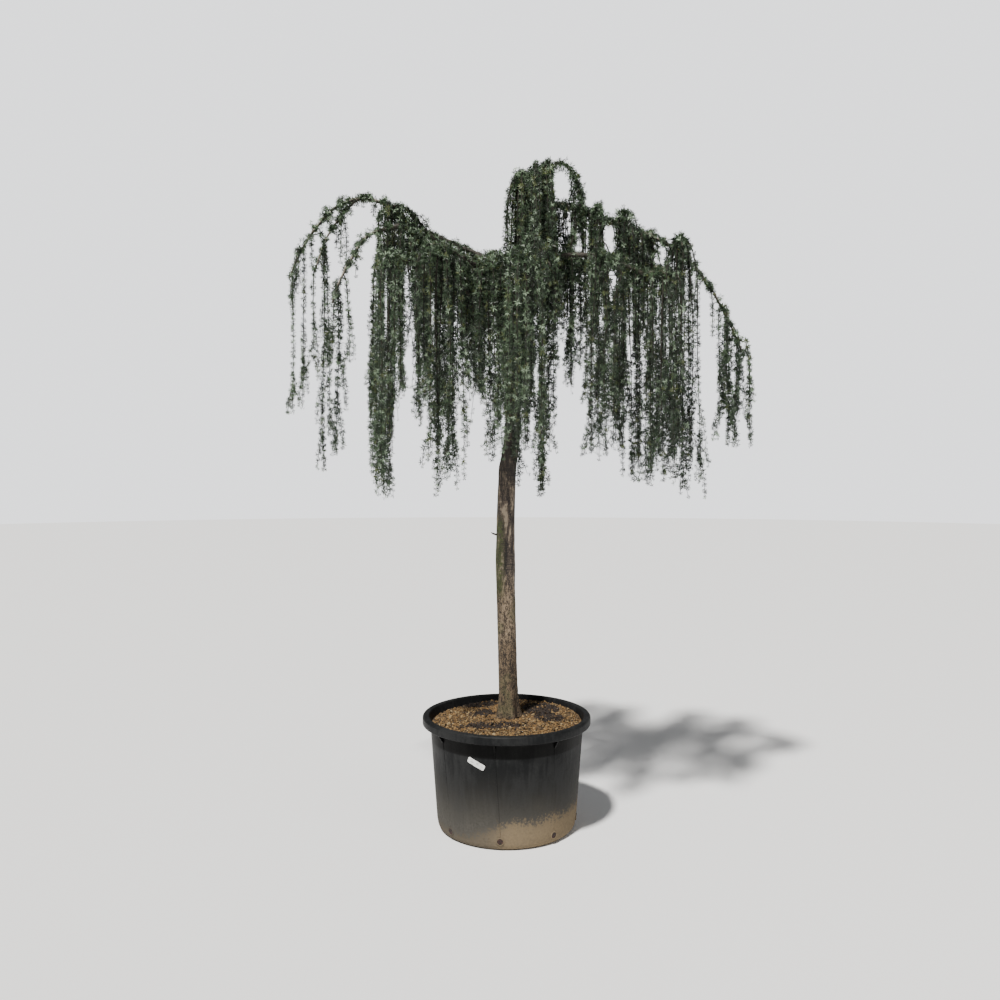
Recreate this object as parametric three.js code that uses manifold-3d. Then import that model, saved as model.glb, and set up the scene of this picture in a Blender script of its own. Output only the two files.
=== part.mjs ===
// Weeping cedar in a nursery pot: a clear stem carries arching limbs, hung with long curtains of needles.
// Millimetres, +Z up, origin at the middle of the pot's flat underside, X to the right, Y to the back.
import * as THREE from "three";
import { mergeVertices } from "three/addons/utils/BufferGeometryUtils.js";
import Module from "manifold-3d";

const wasm = await Module();
wasm.setup();

// Clearance between pieces that touch
const CLEARANCE = 0.3;

// Finest step that a joined solid keeps, and the distance at which two corners are one
const SLIVER = 0.02;
const MERGE_DISTANCE = 1e-3;
const NUDGE = 0.04;

// A line steeper than this counts as upright
const STEEP = 0.7;

// Pot
const POT_HEIGHT = 500;
const POT_SEGMENTS = 32;
const RIM_RADIUS = 380;
const LIP_WIDTH = 30;
const LIP_HEIGHT = 37;
const LIP_ROUND = 9;
const LIP_EDGE = [3, 4];
const WALL_TOP_RADIUS = 346;
const WALL_FOOT_RADIUS = 311;
const WALL_THICKNESS = 6;
const FLOOR_THICKNESS = 9;
const FOOT_ROUND = 30;
const FOOT_STEPS = 3;
const GUSSET_COUNT = 8;
const GUSSET_TURN = THREE.MathUtils.degToRad(-98.7);
const GUSSET_DEPTH = 24;
const GUSSET_HEIGHT = 46;
const GUSSET_THICKNESS = 7;
const GUSSET_SINK = 2;

// Soil, mounded towards the trunk and to the back on the right
const SOIL_EDGE = 462;
const SEAT_LEVEL = 486;
const SEAT_RADIUS = 84;
const SOIL_SLOPE = [[0.33, 0.4], [0.7, 0.75]];
const SOIL_LUMP = 7;
const SOIL_RISE = 12;

// Blank label on the wall
const LABEL_WIDTH = 82;
const LABEL_HEIGHT = 28;
const LABEL_THICKNESS = 1.2;
const LABEL_LEVEL = 370;
const LABEL_TURN = THREE.MathUtils.degToRad(-22.5);
const LABEL_TILT = THREE.MathUtils.degToRad(-24);

// Trunk: axis [x, z], then its radius at the same heights
const TRUNK_BASE = SEAT_LEVEL + CLEARANCE;
const TRUNK_AXIS = [
  [9, TRUNK_BASE], [3, 800], [-4, 1100], [-5, 1270], [6, 1610], [25, 1745],
  [34, 2150], [43, 2468], [61, 2695], [80, 2810],
];
const TRUNK_RADII = [
  [TRUNK_BASE, 42], [1270, 42], [1610, 39], [1900, 34], [2300, 27], [2700, 20], [2810, 16],
];
const TRUNK_SIDES = 10;
const TRUNK_STEPS = 18;
const FLARE = 25;
const FLARE_HEIGHT = 48;
const FLARE_LOBES = 5;
const FLARE_LOBE_DEPTH = 0.16;

// Boughs by name: the limb that each leaves, where (height on the trunk, share of the length on a bough),
// radius at root and tip, then the points that it bends through
const TIP = 1;
const TIP_SINK = 3;
const BOUGHS = {
  bough_left_rise: ["trunk", 2420, [17, 9], [-167, 20, 2555], [-351, 40, 2670], [-560, 60, 2836]],
  bough_left_arch: ["bough_left_rise", TIP, [7, 6], [-676, 65, 2857], [-793, 75, 2818], [-890, 90, 2725]],
  bough_left_side: ["bough_left_arch", 0.35, [5, 4.5], [-765, 92, 2790], [-835, 80, 2680]],
  bough_left_low_rise: ["trunk", 2370, [14, 9], [-255, -60, 2572], [-473, -112, 2686]],
  bough_left_low_arch: ["bough_left_low_rise", TIP, [7, 6], [-610, -142, 2630], [-700, -162, 2490]],
  bough_left_middle: ["bough_left_rise", 0.6, [8, 7], [-430, 15, 2770], [-465, -5, 2800]],
  bough_left_back: ["trunk", 2500, [12, 7], [-190, 120, 2640], [-380, 225, 2750]],
  bough_left_front: ["trunk", 2330, [13, 8], [-100, -150, 2470], [-215, -262, 2525]],
  bough_leader: ["trunk", 2810, [12, 8], [76, -5, 2855], [116, -10, 2920], [188, -20, 2957]],
  bough_leader_front: ["bough_leader", 0.35, [7, 6], [76, -60, 2895], [72, -98, 2905]],
  bough_leader_side: ["bough_leader", 0.7, [7, 6], [162, -60, 2948], [182, -115, 2932]],
  bough_right_rise: ["trunk", 2762, [14, 10], [200, 5, 2812], [303, 10, 2799], [427, 20, 2756],
    [613, 40, 2697]],
  bough_right_arch: ["bough_right_rise", TIP, [8, 6], [725, 50, 2650], [847, 60, 2564], [960, 75, 2425]],
  bough_right_inner: ["bough_right_rise", 0.58, [7, 5], [405, -18, 2785], [408, -38, 2782]],
  bough_right_middle: ["bough_right_rise", 0.8, [8, 6], [520, -20, 2752], [521, -48, 2748]],
  bough_right_rear: ["bough_right_arch", 0.12, [7, 6], [663, 85, 2705], [668, 108, 2703]],
  bough_right_outer: ["bough_right_arch", 0.42, [7, 6], [784, 8, 2650], [780, -28, 2645]],
  bough_right_front: ["trunk", 2440, [14, 8], [140, -62, 2520], [250, -118, 2550], [420, -200, 2520],
    [585, -255, 2440]],
  bough_right_front_side: ["bough_right_front", 0.62, [8, 6], [405, -245, 2520], [415, -280, 2500]],
  bough_front: ["trunk", 2285, [13, 8], [-5, -200, 2440], [35, -380, 2480], [58, -492, 2460]],
  bough_front_left: ["trunk", 2245, [13, 8], [-225, -150, 2420], [-410, -250, 2490], [-450, -372, 2475]],
  bough_back_left: ["trunk", 2465, [13, 8], [-140, 200, 2600], [-290, 375, 2640]],
  bough_back: ["trunk", 2390, [13, 8], [60, 250, 2600], [54, 518, 2670]],
  bough_back_right: ["trunk", 2490, [13, 8], [250, 220, 2620], [430, 425, 2640]],
  bough_far_right: ["trunk", 2350, [14, 8], [330, 150, 2560], [570, 260, 2640], [730, 325, 2600]],
  bough_far_left: ["trunk", 2300, [14, 8], [-230, 72, 2510], [-420, 128, 2640], [-545, 205, 2690],
    [-580, 285, 2692]],
  bough_far_back: ["trunk", 2255, [14, 8], [-10, 280, 2520], [-95, 540, 2640], [-130, 672, 2635]],
};
const BOUGH_SIDES = 6;
const BOUGH_STEP = 160;

// Masses of foliage by name: the limb that carries the stem (on the trunk, at a height), points that the stem
// bends through, how far it drops by the middle and the end, the middle and half width of the space in plan,
// the lowest and highest strand end, and how many strands and side shoots hang there
const MASSES = {
  foliage_left_tip: { from: "bough_left_arch", drop: [130, 230], centre: [-972, 100], spread: [66, 72],
    hem: [1894, 2240], strands: 6, forks: 3 },
  foliage_left_inner: { from: "bough_left_side", drop: [70, 160], centre: [-857, 70], spread: [50, 68],
    hem: [1605, 1900], strands: 5, forks: 1 },
  foliage_left_low: { from: "bough_left_low_arch", drop: [80, 170], centre: [-732, -180], spread: [50, 68],
    hem: [1691, 2150], strands: 5, forks: 1 },
  foliage_left_middle: { from: "bough_left_middle", centre: [-535, -20], spread: [95, 74],
    hem: [1500, 1650], strands: 6 },
  foliage_left_back: { from: "bough_left_back", centre: [-440, 255], spread: [76, 80],
    hem: [2090, 2300], strands: 6 },
  foliage_left_front: { from: "bough_left_front", centre: [-296, -350], spread: [118, 92],
    hem: [1520, 1730], strands: 8 },
  foliage_behind_trunk: { from: "trunk", at: 2560, through: [[-90, 90, 2600]], centre: [-170, 170],
    spread: [72, 72], hem: [1936, 2050], strands: 5 },
  foliage_front_of_trunk: { from: "trunk", at: 2375, through: [[-30, -150, 2500]], centre: [-72, -300],
    spread: [94, 82], hem: [1666, 1800], strands: 6 },
  foliage_leader_front: { from: "bough_leader_front", centre: [62, -155], spread: [58, 72],
    hem: [1560, 1700], strands: 5 },
  foliage_leader_side: { from: "bough_leader_side", centre: [196, -172], spread: [56, 66],
    hem: [1514, 1700], strands: 5 },
  foliage_leader_tip: { from: "bough_leader", through: [[242, -25, 2992], [300, -32, 2940], [334, -40, 2800]],
    drop: [140, 230], centre: [298, -50], spread: [62, 68], hem: [1605, 1900], strands: 6 },
  foliage_right_inner: { from: "bough_right_inner", centre: [410, -85], spread: [50, 60],
    hem: [1650, 1925], strands: 4 },
  foliage_right_middle: { from: "bough_right_middle", centre: [530, -105], spread: [68, 74],
    hem: [1582, 1700], strands: 5 },
  foliage_right_rear: { from: "bough_right_rear", centre: [677, 162], spread: [74, 76],
    hem: [1560, 1700], strands: 5 },
  foliage_right_outer: { from: "bough_right_outer", centre: [776, -88], spread: [92, 78],
    hem: [1502, 1720], strands: 6 },
  foliage_right_tip: { from: "bough_right_arch", drop: [170, 280], centre: [1052, 90], spread: [104, 82],
    hem: [1735, 1960], strands: 8, forks: 4 },
  foliage_front_right: { from: "trunk", at: 2400, through: [[118, -100, 2480], [130, -240, 2500]],
    centre: [165, -345], spread: [68, 78], hem: [1520, 1700], strands: 6 },
  foliage_right_front: { from: "bough_right_front", centre: [655, -305], spread: [92, 82],
    hem: [1561, 1720], strands: 6 },
  foliage_right_front_side: { from: "bough_right_front_side", centre: [430, -350], spread: [84, 74],
    hem: [1687, 1850], strands: 6 },
  foliage_front: { from: "bough_front", centre: [60, -570], spread: [94, 78],
    hem: [1690, 1850], strands: 6, forks: 1 },
  foliage_front_left: { from: "bough_front_left", centre: [-490, -450], spread: [66, 78],
    hem: [1521, 1700], strands: 6 },
  foliage_back_left: { from: "bough_back_left", centre: [-350, 455], spread: [96, 88],
    hem: [1850, 2000], strands: 7 },
  foliage_back: { from: "bough_back", centre: [50, 605], spread: [102, 92],
    hem: [1850, 2000], strands: 7, forks: 1 },
  foliage_back_right: { from: "bough_back_right", centre: [500, 505], spread: [102, 92],
    hem: [1965, 2100], strands: 7 },
  foliage_far_right: { from: "bough_far_right", centre: [802, 355], spread: [84, 84],
    hem: [1700, 1900], strands: 6, forks: 1 },
  foliage_far_left: { from: "bough_far_left", centre: [-602, 355], spread: [84, 84],
    hem: [1700, 1900], strands: 6, forks: 1 },
  foliage_far_back: { from: "bough_far_back", centre: [-150, 752], spread: [94, 84],
    hem: [2030, 2150], strands: 6, forks: 1 },
};
const SEED = 7919;
const SEED_STEP = 101;
const GOLDEN_ANGLE = Math.PI * (3 - Math.sqrt(5));
const STEM_DROP = [5, 60];
const STEM_PAST_MIDDLE = 0.6;
const STEM_STEP = 90;
const STEM_SIDES = 3;
const STEM_SAMPLES = 24;
const STEM_ROOT_RADIUS = 9;
const STEM_ROOT_SHARE = 0.8;
const STEM_END_RADIUS = 5;
const NEEDLE_SIDES = 3;
const WHORL_STEP = 165;
const TWIG_RADIUS = 7;
const TWIG_END_RADIUS = 4;
const NEEDLE_REACH = [21, 28];
const NEEDLE_UNEVEN = [0.8, 1.1];
const STRAND_LIFT = [10, 60];
const STRAND_SWAY = 12;
const STRAND_ROOTS = [0.05, 0.95];
const STRAND_OVER = 0.7;
const STRAND_FALL = 0.25;
const FORK_SHARE = 0.55;
const FORK_REACH = 58;
const FORK_DROP = 240;
const SPACE_MARGIN = 12;
const KEEP_CLEAR = 6;
const OWN_OVERLAP = -5;
const TRIES_PER_STRAND = 12;

const finish = (color, roughness) => new THREE.MeshStandardMaterial(
  { color, roughness, metalness: 0, flatShading: true },
);
const BLACK_PLASTIC = finish(0x2b2a27, 0.62);
const LABEL_WHITE = finish(0xd8d8d2, 0.5);
const BARK_MULCH = finish(0x6d4a30, 0.95);
const TRUNK_BARK = finish(0x5c5346, 0.9);
const BOUGH_BARK = finish(0x6b5f4f, 0.88);
const NEEDLES = finish(0x4e6660, 0.7);

const vector = ([x, y, z]) => new THREE.Vector3(x, y, z);
const mix = THREE.MathUtils.lerp;

// Repeatable random numbers from 0 to 1
function seeded(seed) {
  let state = seed;
  return () => {
    state = (state * 16807) % 2147483647;
    return state / 2147483647;
  };
}

function closedMesh(geometry) {
  geometry.deleteAttribute("normal");
  geometry.deleteAttribute("uv");
  return mergeVertices(geometry, MERGE_DISTANCE);
}

function toSolid(geometry) {
  return new wasm.Manifold(new wasm.Mesh({
    numProp: 3,
    vertProperties: new Float32Array(geometry.attributes.position.array),
    triVerts: new Uint32Array(geometry.index.array),
  }));
}

// The faces are listed from the lowest one up, so that the list starts well outside
function toGeometry(solid) {
  const { vertProperties, triVerts } = solid.getMesh();
  const height = (face) => face.reduce((sum, v) => sum + vertProperties[3 * v + 2], 0);
  const faces = Array.from({ length: triVerts.length / 3 }, (_, i) => [...triVerts.slice(3 * i, 3 * i + 3)]);
  faces.sort((a, b) => height(a) - height(b));
  const geometry = new THREE.BufferGeometry();
  geometry.setAttribute("position", new THREE.BufferAttribute(vertProperties, 3));
  geometry.setIndex(faces.flat());
  geometry.computeVertexNormals();
  return geometry;
}

// The largest body of a solid, with its slivers closed: loose scraps are dropped and sealed hollows filled
function mainBody(solid) {
  return solid.simplify(SLIVER).decompose().sort((a, b) => b.volume() - a.volume())[0];
}

// Corners that lie on each other but belong to separate folds of the surface are drawn a little apart, each
// towards its own faces, so that every edge keeps just two faces
function partTouchingCorners(geometry) {
  const place = geometry.attributes.position;
  const faces = geometry.index.array;
  const own = Array.from({ length: place.count }, () => new THREE.Vector3());
  const corner = (i) => new THREE.Vector3().fromBufferAttribute(place, i);
  for (let i = 0; i < faces.length; i += 3) {
    const [a, b, c] = faces.slice(i, i + 3);
    const sum = corner(a).add(corner(b)).add(corner(c));
    for (const v of [a, b, c]) own[v].add(sum.clone().addScaledVector(corner(v), -3).normalize());
  }
  const cell = (v) => corner(v).divideScalar(MERGE_DISTANCE).round().toArray().join();
  const groups = Map.groupBy(own.keys(), cell);
  for (const group of groups.values()) {
    if (group.length < 2) continue;
    group.forEach((v, turn) => {
      const moved = corner(v).addScaledVector(own[v].normalize(), NUDGE * (turn + 1));
      place.setXYZ(v, moved.x, moved.y, moved.z);
    });
  }
  return geometry;
}

// Directions at each point of a line: along the mean of the stretches that meet there, and two across it
function framesAlong(points) {
  const ways = points.slice(1).map((point, i) => point.clone().sub(points[i]).normalize());
  let across = Math.abs(ways[0].z) < STEEP ? new THREE.Vector3(0, 0, 1) : new THREE.Vector3(1, 0, 0);
  return points.map((_, i) => {
    const along = (ways[i - 1] ?? ways[i]).clone().add(ways[i] ?? ways[i - 1]).normalize();
    across = across.clone().projectOnPlane(along).normalize();
    return { along, across, aside: along.clone().cross(across) };
  });
}

// A cylinder bent along a curve, ring by ring. radiusAt(share of length, angle) shapes it, grow makes it
// fatter and longer by that much, twist turns each ring past the last one, and level keeps the rings flat.
function bentCylinder(curve, sides, steps, radiusAt, { grow = 0, twist = 0, level = false } = {}) {
  const body = closedMesh(new THREE.CylinderGeometry(1, 1, 1, sides, steps));
  const centres = curve.getSpacedPoints(steps);
  const frames = framesAlong(centres);
  centres[0].addScaledVector(frames[0].along, -grow);
  centres[steps].addScaledVector(frames[steps].along, grow);
  const flat = { across: new THREE.Vector3(1, 0, 0), aside: new THREE.Vector3(0, 1, 0) };
  const place = body.attributes.position;
  for (let i = 0; i < place.count; i++) {
    const ring = Math.round((0.5 - place.getY(i)) * steps);
    const angle = Math.atan2(place.getZ(i), place.getX(i)) + ring * twist;
    const onAxis = Math.hypot(place.getX(i), place.getZ(i)) < 0.5;
    const radius = onAxis ? 0 : radiusAt(ring / steps, angle) + grow / Math.cos(Math.PI / sides);
    const { across, aside } = level ? flat : frames[ring];
    const point = centres[ring].clone();
    point.addScaledVector(across, radius * Math.cos(angle));
    point.addScaledVector(aside, radius * Math.sin(angle));
    place.setXYZ(i, point.x, point.y, point.z);
  }
  return toSolid(body);
}

// Straight stretches with a radius at each end, for keeping pieces apart
function stretches(curve, steps, radiusAt) {
  const points = curve.getSpacedPoints(steps);
  return points.slice(1).map((point, i) => ({
    line: new THREE.Line3(points[i], point),
    radii: [radiusAt(i / steps), radiusAt((i + 1) / steps)],
  }));
}

const nearest = new THREE.Vector3();
function touches({ line, radii }, others, clear) {
  const probes = [0, 0.5, 1].map((share) => [line.at(share, new THREE.Vector3()), mix(...radii, share)]);
  return others.some((other) => probes.some(([probe, radius]) => {
    const share = other.line.closestPointToPointParameter(probe, true);
    other.line.at(share, nearest);
    return nearest.distanceTo(probe) < radius + mix(...other.radii, share) + clear;
  }));
}

function revolve(outline) {
  const points = outline.map(([radius, height]) => new THREE.Vector2(radius, height));
  const geometry = closedMesh(new THREE.LatheGeometry(points, POT_SEGMENTS));
  return geometry.rotateX(Math.PI / 2);
}

// Quarter round from angle a to b, in equal steps
function round(centre, radius, a, b, steps) {
  return Array.from({ length: steps + 1 }, (_, i) => {
    const angle = mix(a, b, i / steps);
    return [centre[0] + radius * Math.cos(angle), centre[1] + radius * Math.sin(angle)];
  });
}

const LIP_UNDERSIDE = POT_HEIGHT - LIP_HEIGHT;
const wallRadius = (height) => mix(WALL_FOOT_RADIUS, WALL_TOP_RADIUS, height / LIP_UNDERSIDE);

// The hollow of the pot, or what fills it with some slack: round at the foot, then up the wall to a level
const footCentre = [wallRadius(0) - FOOT_ROUND, FOOT_ROUND];
function hollow(level, slack) {
  const radius = FOOT_ROUND - FLOOR_THICKNESS - slack;
  const foot = [footCentre[0] + radius, FOOT_ROUND];
  const lip = [wallRadius(LIP_UNDERSIDE) - WALL_THICKNESS - slack, LIP_UNDERSIDE];
  const rise = (level - foot[1]) / (lip[1] - foot[1]);
  return [
    [0, FLOOR_THICKNESS + slack],
    ...round(footCentre, radius, -Math.PI / 2, 0, FOOT_STEPS),
    [mix(foot[0], lip[0], rise), level],
  ];
}

function pot() {
  const lipInner = RIM_RADIUS - LIP_WIDTH;
  const outline = [
    [0, 0],
    ...round(footCentre, FOOT_ROUND, -Math.PI / 2, 0, FOOT_STEPS),
    [wallRadius(LIP_UNDERSIDE), LIP_UNDERSIDE],
    [RIM_RADIUS - LIP_EDGE[0], LIP_UNDERSIDE],
    [RIM_RADIUS, LIP_UNDERSIDE + LIP_EDGE[1]],
    ...round([RIM_RADIUS - LIP_ROUND, POT_HEIGHT - LIP_ROUND], LIP_ROUND, 0, Math.PI / 2, 3),
    [lipInner, POT_HEIGHT],
    ...hollow(LIP_UNDERSIDE, 0).reverse(),
  ];
  let solid = toSolid(revolve(outline));
  // Gussets under the rim: thin triangles that run out from the wall to the lip
  const finTop = LIP_UNDERSIDE + GUSSET_SINK;
  const finFoot = LIP_UNDERSIDE - GUSSET_HEIGHT;
  for (let i = 0; i < GUSSET_COUNT; i++) {
    const fin = new THREE.Shape([
      new THREE.Vector2(wallRadius(LIP_UNDERSIDE) - WALL_THICKNESS / 2, finTop),
      new THREE.Vector2(wallRadius(finFoot) - WALL_THICKNESS / 2, finFoot),
      new THREE.Vector2(wallRadius(LIP_UNDERSIDE) + GUSSET_DEPTH, finTop),
    ]);
    const geometry = new THREE.ExtrudeGeometry(fin, { depth: GUSSET_THICKNESS, bevelEnabled: false });
    geometry.translate(0, 0, -GUSSET_THICKNESS / 2).rotateX(Math.PI / 2);
    geometry.rotateZ(GUSSET_TURN + (i * 2 * Math.PI) / GUSSET_COUNT);
    solid = solid.add(toSolid(closedMesh(geometry)));
  }
  return new THREE.Mesh(toGeometry(solid), BLACK_PLASTIC);
}

function soil() {
  const outline = hollow(SOIL_EDGE, CLEARANCE / Math.cos(Math.PI / POT_SEGMENTS));
  const [edge] = outline.at(-1);
  outline.push(
    ...SOIL_SLOPE.map(([inward, up]) => [mix(edge, SEAT_RADIUS, inward), mix(SOIL_EDGE, SEAT_LEVEL, up)]),
    [SEAT_RADIUS, SEAT_LEVEL],
    [0, SEAT_LEVEL],
  );
  const geometry = revolve(outline);
  const random = seeded(SEED);
  const place = geometry.attributes.position;
  for (let i = 0; i < place.count; i++) {
    const reach = Math.hypot(place.getX(i), place.getY(i));
    const onTop = place.getZ(i) > SOIL_EDGE + 1 && reach > SEAT_RADIUS + 1;
    const rise = SOIL_RISE * Math.max(0, (place.getX(i) + place.getY(i)) / edge);
    if (onTop) place.setZ(i, place.getZ(i) + rise + SOIL_LUMP * (random() - 0.5));
  }
  geometry.computeVertexNormals();
  return new THREE.Mesh(geometry, BARK_MULCH);
}

function label() {
  const mesh = new THREE.Mesh(new THREE.BoxGeometry(LABEL_WIDTH, LABEL_THICKNESS, LABEL_HEIGHT), LABEL_WHITE);
  mesh.rotation.set(Math.atan2(WALL_TOP_RADIUS - WALL_FOOT_RADIUS, LIP_UNDERSIDE), -LABEL_TILT, 0, "XYZ");
  const stand = wallRadius(LABEL_LEVEL) + CLEARANCE + LABEL_THICKNESS / 2;
  mesh.position.set(0, -stand, LABEL_LEVEL);
  const turn = new THREE.Group();
  turn.rotation.z = LABEL_TURN;
  turn.add(mesh);
  mesh.name = "label";
  return turn;
}

// Trunk and boughs by name: the curve, its radius along it, sides and steps
const limbs = new Map();
const limbStretches = [];

function trunkRadius(height) {
  const next = Math.max(1, TRUNK_RADII.findIndex(([level]) => level >= height));
  const [low, a] = TRUNK_RADII[next - 1];
  const [high, b] = TRUNK_RADII[next];
  return mix(a, b, (height - low) / (high - low)) + FLARE * Math.exp(-(height - TRUNK_BASE) / FLARE_HEIGHT);
}

function keepLimb(name, limb) {
  limbs.set(name, limb);
  limbStretches.push(...stretches(limb.curve, limb.steps, (share) => limb.radiusAt(share, 0)));
}

const limbSolid = (limb, grow = 0) => bentCylinder(
  limb.curve, limb.sides, limb.steps, limb.radiusAt, { grow, level: limb.level },
);

function trunk() {
  const curve = new THREE.CatmullRomCurve3(TRUNK_AXIS.map(([x, z]) => vector([x, 0, z])));
  const top = TRUNK_AXIS.at(-1)[1];
  const radiusAt = (share, angle) => {
    const height = mix(TRUNK_BASE, top, share);
    const fade = Math.exp(-(height - TRUNK_BASE) / (2 * FLARE_HEIGHT));
    return trunkRadius(Math.min(height, top)) * (1 + FLARE_LOBE_DEPTH * fade * Math.cos(FLARE_LOBES * angle));
  };
  keepLimb("trunk", { curve, radiusAt, sides: TRUNK_SIDES, steps: TRUNK_STEPS, level: true });
  return new THREE.Mesh(toGeometry(limbSolid(limbs.get("trunk"))), TRUNK_BARK);
}

// The point where a piece leaves its parent: on the trunk by height, on a bough by share of its length
function leavingPoint(parentName, at) {
  const { curve } = limbs.get(parentName);
  const top = TRUNK_AXIS.at(-1)[1];
  const share = parentName === "trunk" ? (at - TRUNK_BASE) / (top - TRUNK_BASE) : at;
  return curve.getPointAt(share).addScaledVector(curve.getTangentAt(share), share === TIP ? -TIP_SINK : 0);
}

function bough(name, [from, at, radii, ...path]) {
  const curve = new THREE.CatmullRomCurve3([leavingPoint(from, at), ...path.map(vector)]);
  const steps = Math.max(2, Math.round(curve.getLength() / BOUGH_STEP));
  const radiusAt = (share) => mix(radii[0], radii[1], share);
  const limb = { curve, radiusAt, sides: BOUGH_SIDES, steps };
  const solid = limbSolid(limb).subtract(limbSolid(limbs.get(from), CLEARANCE));
  keepLimb(name, limb);
  return new THREE.Mesh(partTouchingCorners(toGeometry(mainBody(solid))), BOUGH_BARK);
}

// One strand: a slim three-sided twig whose every second ring stands out as a whorl of needle points
function strand(curve, random) {
  const steps = Math.max(3, Math.round(curve.getLength() / WHORL_STEP));
  const rings = Array.from({ length: steps + 1 }, (_, ring) => {
    const whorl = ring > 1 && (steps - 1 - ring) % 2 === 0;
    return whorl ? mix(...NEEDLE_REACH, random()) : TWIG_RADIUS;
  });
  rings[steps] = TWIG_END_RADIUS;
  const radiusAt = (share) => rings[Math.round(share * steps)];
  const uneven = (share) => {
    const radius = radiusAt(share);
    return radius > TWIG_RADIUS ? radius * mix(...NEEDLE_UNEVEN, random()) : radius;
  };
  return {
    solid: bentCylinder(curve, NEEDLE_SIDES, steps, uneven, { twist: -Math.PI / NEEDLE_SIDES }),
    own: stretches(curve, steps, radiusAt),
  };
}

// From the stem out to a place in plan, then straight down
function hangingCurve(start, low, lift, sway) {
  const over = start.clone().lerp(low, STRAND_OVER).setZ(start.z + lift);
  const fall = new THREE.Vector3(low.x + sway[0], low.y + sway[1], mix(start.z, low.z, STRAND_FALL));
  return new THREE.CubicBezierCurve3(start, over, fall, low);
}

function stemCurve({ from, at = TIP, through = [], drop = STEM_DROP, centre, spread }) {
  const root = leavingPoint(from, at);
  const path = [root, ...through.map(vector)];
  const last = path.at(-1);
  const outward = new THREE.Vector2(centre[0] - last.x, centre[1] - last.y);
  outward.setLength(STEM_PAST_MIDDLE * Math.min(...spread));
  path.push(vector([...centre, last.z - drop[0]]));
  path.push(vector([centre[0] + outward.x, centre[1] + outward.y, last.z - drop[1]]));
  return new THREE.CatmullRomCurve3(path);
}

// The stem of a mass, with its radius along it and the stretches that other masses keep clear of
function stemOf(spec) {
  const parent = limbs.get(spec.from);
  const rootRadius = spec.from === "trunk" ? STEM_ROOT_RADIUS : STEM_ROOT_SHARE * parent.radiusAt(1, 0);
  const curve = stemCurve(spec);
  const steps = Math.round(curve.getLength() / STEM_STEP) + 1;
  const radiusAt = (share) => mix(rootRadius, STEM_END_RADIUS, share);
  return { curve, steps, radiusAt, reach: stretches(curve, steps, radiusAt) };
}

const strandStretches = [];

function mass(spec, index, stems) {
  const { from, centre, spread, hem, strands, forks = 0 } = spec;
  const random = seeded(SEED + SEED_STEP * (index + 1));
  const { curve: stem, steps: stemSteps, radiusAt: stemRadius } = stems[index];
  const pieces = [bentCylinder(stem, STEM_SIDES, stemSteps, stemRadius)];
  const own = [];
  const otherStems = stems.filter((_, i) => i !== index).flatMap(({ reach }) => reach);
  const others = [...limbStretches, ...otherStems, ...strandStretches];
  const outOfSpace = (point) => Math.hypot(
    (point.x - centre[0]) / (spread[0] + SPACE_MARGIN),
    (point.y - centre[1]) / (spread[1] + SPACE_MARGIN),
  ) > 1;
  const grow = (curve) => {
    const { solid, own: reach } = strand(curve, random);
    const leaves = reach.some(({ line }) => outOfSpace(line.end));
    const hanging = reach.slice(1);
    if (leaves || reach.some((stretch) => touches(stretch, others, KEEP_CLEAR))) return false;
    if (hanging.some((stretch) => touches(stretch, own, OWN_OVERLAP))) return false;
    pieces.push(solid);
    own.push(...hanging);
    return true;
  };
  const inside = stem.getSpacedPoints(STEM_SAMPLES).findIndex((point) => !outOfSpace(point));
  const entry = (inside + 1) / STEM_SAMPLES;
  const heading = stem.getPointAt(1).sub(stem.getPointAt(entry)).setZ(0).normalize();
  const middle = vector([...centre, 0]);
  let grown = 0;
  for (let k = 0; grown < strands && k < strands * TRIES_PER_STRAND; k++) {
    const angle = k * GOLDEN_ANGLE + index;
    const reach = k < strands ? Math.sqrt((k + 0.5) / strands) : Math.sqrt(random());
    const low = vector([
      centre[0] + spread[0] * reach * Math.cos(angle),
      centre[1] + spread[1] * reach * Math.sin(angle),
      grown === 0 ? hem[0] : mix(...hem, random()),
    ]);
    const ahead = low.clone().sub(middle).dot(heading) / Math.max(...spread);
    const start = stem.getPointAt(mix(entry, 1, mix(...STRAND_ROOTS, (ahead + 1) / 2)));
    const sway = [STRAND_SWAY * (random() - 0.5), STRAND_SWAY * (random() - 0.5)];
    const curve = hangingCurve(start, low, mix(...STRAND_LIFT, random()), sway);
    if (!grow(curve)) continue;
    grown++;
    if (grown > forks) continue;
    const fork = curve.getPointAt(FORK_SHARE);
    const end = vector([
      fork.x + FORK_REACH * Math.cos(angle),
      fork.y + FORK_REACH * Math.sin(angle),
      Math.max(fork.z - FORK_DROP, hem[0]),
    ]);
    grow(hangingCurve(fork, end, 0, [0, 0]));
  }
  strandStretches.push(...own);
  const joined = wasm.Manifold.union(pieces).subtract(limbSolid(limbs.get(from), CLEARANCE));
  return new THREE.Mesh(partTouchingCorners(toGeometry(mainBody(joined))), NEEDLES);
}

function named(mesh, name) {
  mesh.name = name;
  return mesh;
}

const tree = new THREE.Group();
tree.add(named(trunk(), "trunk"));
for (const [name, spec] of Object.entries(BOUGHS)) tree.add(named(bough(name, spec), name));
const stems = Object.values(MASSES).map(stemOf);
Object.entries(MASSES).forEach(([name, spec], index) => tree.add(named(mass(spec, index, stems), name)));

const container = new THREE.Group();
container.add(named(pot(), "pot"), named(soil(), "soil"), label());

const pottedCedar = new THREE.Group();
pottedCedar.add(container, tree);

export default pottedCedar;
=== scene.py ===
import math
from dataclasses import dataclass

import bmesh
import bpy
import numpy as np
from mathutils import Matrix, Vector, noise


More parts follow.
